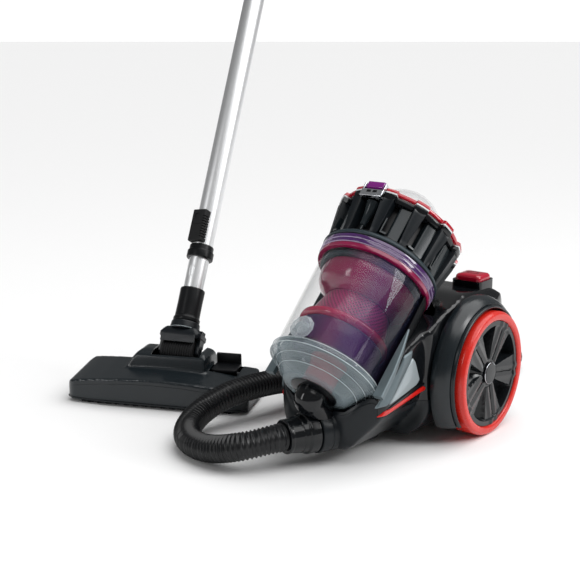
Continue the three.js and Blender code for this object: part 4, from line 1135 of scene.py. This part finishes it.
def make_head():
    low = prism_object("head_low", rounded(HEAD_SIDE, 5, 3), -200, 200, HEAD @ SIDE_PLANE)
    plan = prism_object("cutter", rounded(both_sides(HEAD_PLAN), 14, 5), 0, 100, HEAD)
    rise = Matrix(((1, 0, 0, 0), (0, 1, 0, 0), (0, ARCH_RISE, 1, ARCH_RISE * 60), (0, 0, 0, 1)))
    arch = prism_object("cutter", rounded(both_sides(HEAD_ARCH), 9, 3), -100, 100, HEAD @ rise @ FRONT_PLANE)
    combine(low, [plan, arch], "INTERSECT")
    hump = prism_object("cutter", rounded(HUMP_SIDE, 6, 3), -200, 200, HEAD @ SIDE_PLANE)
    across = prism_object("cutter", rounded(HUMP_FRONT, 7, 3), -100, 100, HEAD @ FRONT_PLANE)
    combine(hump, [across], "INTERSECT")
    combine(low, [hump], "UNION")
    soften(low, 2.2, 4)
    wall = low.modifiers.new("wall", "SOLIDIFY")
    wall.thickness = 0.0024
    wall.offset = -1
    apply_all(low)
    rooms = [
        block((-22, -6, 46), (58, 70, 110), HEAD), block((71, -2, 34), (117, 42, 90), HEAD),
        block((-200, -100, -20), (200, 100, 9.0), HEAD), lip_groove(),
    ]
    combine(low, rooms, "DIFFERENCE")
    finish_mesh(low, FENDER_GREY, "floor_head", ["head_shell"], sharp=36)
    low.name = "head_cover"
    make_bristles()
    for x in (-68, 68):
        name = "left" if x > 0 else "right"
        profile = [(2, -7), (7.2, -7), (8, -6), (8, 6), (7.2, 7), (2, 7)]
        turn = HEAD @ Matrix.Translation((x, 32, 8.2)) @ Matrix.Rotation(math.radians(90), 4, "Y")
        lathe(f"{name}_head_wheel", profile, turn, RUBBER, f"{name}_head_roller", [f"{name}_roller"], soft=0.4,
              segments=48)
    make_rocker()


def lip_groove():
    """The cutter for the shadow line that follows the arched lip of the head."""
    rings = []
    for i in range(29):
        x = -140 + 10 * i
        rings.append([lip_point(x, SEAM_DROP + low, out) for low, out in ((0, -0.7), (0, 2), (1.1, 2), (1.1, -0.7))])
    return make_object("cutter", *loft_data(rings), HEAD)


def make_bristles():
    """Two rows of leaning tufts below their carrier strips."""
    verts, faces = [], []
    for row, y in enumerate((-48.0, 48.5)):
        merge_into(verts, faces, loft_data([
            [(-122, y - 2.2, z), (122, y - 2.2, z), (122, y + 2.2, z), (-122, y + 2.2, z)] for z in (7.0, 13.0)
        ]))
        for i in range(122):
            x = -121 + 2 * i
            sway = 0.9 * math.sin(i * 1.7 + row) + 0.5 * math.sin(i * 0.61)
            tip = 0.5 + 1.3 * (0.5 + 0.5 * math.sin(i * 0.83 + row * 2))
            for j, dy in enumerate((-1.2, 0.0, 1.2)):
                top = [(x - 0.7, y + dy - 0.5, 7.6), (x + 0.7, y + dy - 0.5, 7.6), (x + 0.7, y + dy + 0.5, 7.6),
                       (x - 0.7, y + dy + 0.5, 7.6)]
                foot = [(px + sway, py + 0.5 * (j - 1), tip) for px, py, _ in top]
                merge_into(verts, faces, loft_data([foot, top]))
    for x in (-119.5, 119.5):
        merge_into(verts, faces, loft_data([
            [(x - 2, -46, z), (x + 2, -46, z), (x + 2, 47, z), (x - 2, 47, z)] for z in (10.2, 12.8)
        ]))
    obj = make_object("brush_tufts", verts, faces, HEAD)
    finish_mesh(obj, BRISTLE, "brushes", ["brush_strip"], sharp=40)


def make_rocker():
    pivot = HEAD @ Matrix.Translation((94, 20, 42))
    tilt = pivot @ Matrix.Rotation(0.08, 4, "X")
    rounded_box("rocker_plate", (-20, -18, 8), (20, 18, 12.5), tilt, SATIN_BLACK, "head_rocker", ["head_pedal"],
                edge=1.2, corner=4)
    rounded_box("rocker_tab", (-20, 12.5, 6), (20, 17.5, 28), tilt, SATIN_BLACK, "head_rocker", ["head_pedal"],
                edge=1.4)
    rounded_box("rocker_body", (-18, -5, -3), (18, 5, 10), pivot, SATIN_BLACK, "head_rocker", ["head_pedal"],
                edge=0.8)
    pin = rod_object("rocker_pin", 3, (-22, 0, 0), (22, 0, 0), pivot)
    finish_mesh(pin, STEEL, "head_rocker", ["head_pedal"])


# ---------------------------------------------------------------- neck and wand


def make_neck():
    profile = [(9.0, -27), (16.6, -27)]
    for i in range(13):
        x = -25 + i * 4
        profile += [(16.6, x), (18, x + 1.2), (18, x + 2.4), (16.6, x + 3.4)]
    profile += [(16.6, 27), (9.0, 27)]
    lathe("neck_bellows_ribs", profile, NECK_PLACE @ Matrix.Rotation(math.radians(90), 4, "Y"), RUBBER, "floor_head",
          ["neck_bellows"], soft=0.3, segments=72)
    outline = rounded(both_sides([(29, -20), (35, -14), (35, 14), (29, 20)]), 4, 4)
    rings = []
    for share, z in ((0.96, 19.6), (1.0, 21.5), (1.0, 27), (0.84, 34.4), (0.78, 36)):
        rings.append([(x * share, y * share, z) for x, y in outline])
    yoke = make_object("neck_yoke", *loft_data(rings), WAND)
    ears = [block((-29, y - 0.8, 11), (29, y + 0.8, 24), WAND) for y in (-19.2, 19.2)]
    for x in (-31, 31):
        ear = block((x - 3, -7, 0), (x + 3, 7, 34), WAND)
        disc = rod_object("cutter", 7, (x - 3, 0, 0), (x + 3, 0, 0), WAND)
        ears += [ear, disc]
    combine(yoke, ears, "UNION")
    combine(yoke, [rod_object("cutter", 15, (0, 0, 10), (0, 0, 60), WAND)], "DIFFERENCE")
    bevel(yoke, 1.0, 2, 40)
    finish_mesh(yoke, BODY_GREY, "neck", ["neck_joint"], sharp=36)
    ring = [
        (15.2, 33.6), (22.8, 33.6), (23.8, 34.6), (23.9, 36), (22.9, 45.6), (22.2, 46.8), (20.6, 46.9), (15.2, 46.9),
    ]
    lathe("neck_ring", ring, WAND, BODY_GREY, "neck", ["neck_joint"], soft=0.4)
    bead = [(23.7, 35.2), (24.2, 35.5), (24.2, 36.1), (23.7, 36.4), (23.0, 36.4), (23.0, 35.2)]
    lathe("neck_bead", bead, WAND, SILVER_LIGHT, "neck", ["neck_joint"], soft=0.1)
    cuff = [
        (14.2, 47.6), (20.4, 47.6), (21.4, 48.6), (21.4, 53.4), (20.2, 55), (19.9, 57), (19.6, 80), (19.9, 101.6),
        (19.2, 103), (16.4, 103), (16.4, 62), (14.2, 60),
    ]
    lathe("wand_sleeve", cuff, WAND, SATIN_BLACK, "wand", ["wand_cuff"], soft=0.7)
    lower = [(14.8, 64.2), (16, 64.2), (16, 640), (14.8, 640)]
    lathe("wand_lower", lower, WAND, TUBE_METAL, "wand", ["lower_tube"], soft=0.3)
    window = rounded([(-4.6, -9), (4.6, -9), (4.6, 9), (-4.6, 9)], 2.4, 5)
    rings = []
    for share, lift in ((1.0, -0.5), (1.0, 0.35), (0.8, 0.35), (0.78, 0.05)):
        rings.append([(u * share, -(15.7 + lift), 131 + v * share) for u, v in window])
    stamp = make_object("wand_stamp", *loft_data(rings), WAND @ Matrix.Rotation(math.radians(-6), 4, "Z"))
    finish_mesh(stamp, TUBE_METAL, "wand", sharp=40)
    upper = [(16.4, 169.4), (17.5, 169.4), (17.5, 718.6), (17.2, 720), (16.6, 720), (16.4, 718.6)]
    lathe("wand_upper", upper, WAND, TUBE_METAL, "wand_top", ["upper_tube"], soft=0.2)


def make_collar():
    base = COLLAR_START
    collar = [
        (16.4, base - 6), (20.6, base - 6), (21.5, base - 5), (21.5, base + 5.6), (20.6, base + 6.8),
        (19.5, base + 7.4), (19.5, base + 15), (18.8, base + 16), (17.9, base + 16), (17.9, base + 7.8), (16.4, base + 7.6),
    ]
    lathe("wand_collar", collar, WAND, SATIN_BLACK, "wand_top", ["tube_collar"], soft=0.5)
    turn = WAND @ Matrix.Rotation(math.radians(-14), 4, "Z")
    body = prism_object("slide_body", rounded([(-13, -25.6), (13, -25.6), (13, -6), (-13, -6)], 3.4, 5),
                        base + 17.8, base + 71.8, turn)
    bevel(body, 1.6, 4)
    tube = rod_object("cutter", 17.8, (0, 0, base), (0, 0, base + 120), turn)
    dimple = rod_object("cutter", 5.4, (-2, -30, base + 60), (-2, -24.4, base + 60), turn)
    grooves = [block((9, -27, base + 24 + i * 4.4), (14, -12, base + 25.6 + i * 4.4), turn) for i in range(9)]
    seam = block((-14, -27, base + 46), (8, -25, base + 46.8), turn)
    combine(body, [tube, dimple, seam] + grooves, "DIFFERENCE")
    finish_mesh(body, RUBBER, "tube_release", ["release_slider"], sharp=36)


# ---------------------------------------------------------------- pieces kept from the frame

KEPT = {
    "left_axle": STEEL, "right_axle": STEEL, "caster_fork": SATIN_BLACK, "caster_wheel": RUBBER,
    "motor": CAST_METAL, "fan_impeller": CAST_METAL, "control_board": BOARD, "cord_reel": SATIN_BLACK,
    "exhaust_grille": BODY_GREY, "exhaust_filter": FILTER, "door_hinge_pin": STEEL, "head_sole": BODY_GREY,
}


def dress_kept():
    for node, material in KEPT.items():
        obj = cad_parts[node]
        obj = bpy.data.objects[obj] if isinstance(obj, str) else obj
        obj.data.materials.clear()
        obj.data.materials.append(material)
        edge = obj.modifiers.new("edge", "BEVEL")
        edge.width = 0.0004
        edge.segments = 2
        edge.limit_method = "ANGLE"
        edge.angle_limit = math.radians(40)


# ---------------------------------------------------------------- stage


def make_stage():
    """A pale floor, and a world that is white behind the object and grey in its reflections."""
    half = 30
    mesh = bpy.data.meshes.new("floor")
    corners = [(-half, -half, 0), (half, -half, 0), (half, half, 0), (-half, half, 0)]
    mesh.from_pydata(corners, [], [(0, 1, 2, 3)])
    floor = bpy.data.objects.new("floor", mesh)
    bpy.context.scene.collection.objects.link(floor)
    floor.data.materials.append(plastic("floor_white", (0.9, 0.9, 0.9), rough=0.7, bump=0.0, mottle=0.004, shine=0.1))
    world = bpy.data.worlds.new("studio")
    bpy.context.scene.world = world
    world.use_nodes = True
    nodes, links = world.node_tree.nodes, world.node_tree.links
    ray = nodes.new("ShaderNodeLightPath")
    seen = nodes.new("ShaderNodeMapRange")
    set_inputs(seen, To_Min=0.2, To_Max=1.1)
    links.new(ray.outputs["Is Camera Ray"], seen.inputs["Value"])
    links.new(seen.outputs["Result"], nodes["Background"].inputs["Strength"])
    nodes["Background"].inputs["Color"].default_value = (1, 1, 1, 1)
    bpy.context.scene.view_settings.view_transform = "Standard"


def softbox(name, place, aim, size, power):
    data = bpy.data.lights.new(name, "AREA")
    data.shape = "RECTANGLE"
    data.size, data.size_y = size
    data.energy = power
    light = bpy.data.objects.new(name, data)
    bpy.context.scene.collection.objects.link(light)
    light.location = place
    light.rotation_euler = (Vector(aim) - Vector(place)).to_track_quat("-Z", "Y").to_euler()


def make_lights():
    data = bpy.data.lights.new("sky", "SUN")
    data.energy = 2.9
    data.angle = math.radians(75)
    light = bpy.data.objects.new("sky", data)
    bpy.context.scene.collection.objects.link(light)
    light.rotation_euler = (math.radians(-16), math.radians(20), 0)
    softbox("right", (2.0, 0.5, 1.3), (0.15, 0, 0.15), (0.5, 1.0), 14)
    softbox("left", (-0.6, -1.9, 0.9), (0.1, 0, 0.15), (0.3, 1.3), 7)


body_form = make_body()
make_trims(body_form)
make_saddle(body_form)
bpy.data.objects.remove(body_form)
make_cradle()
make_inlet()
make_wheels()
make_pedals()
make_bin()
make_knob()
make_crown()
make_lid()
make_cuff()
make_handle()
make_head()
make_neck()
make_collar()
dress_kept()
make_stage()
make_lights()
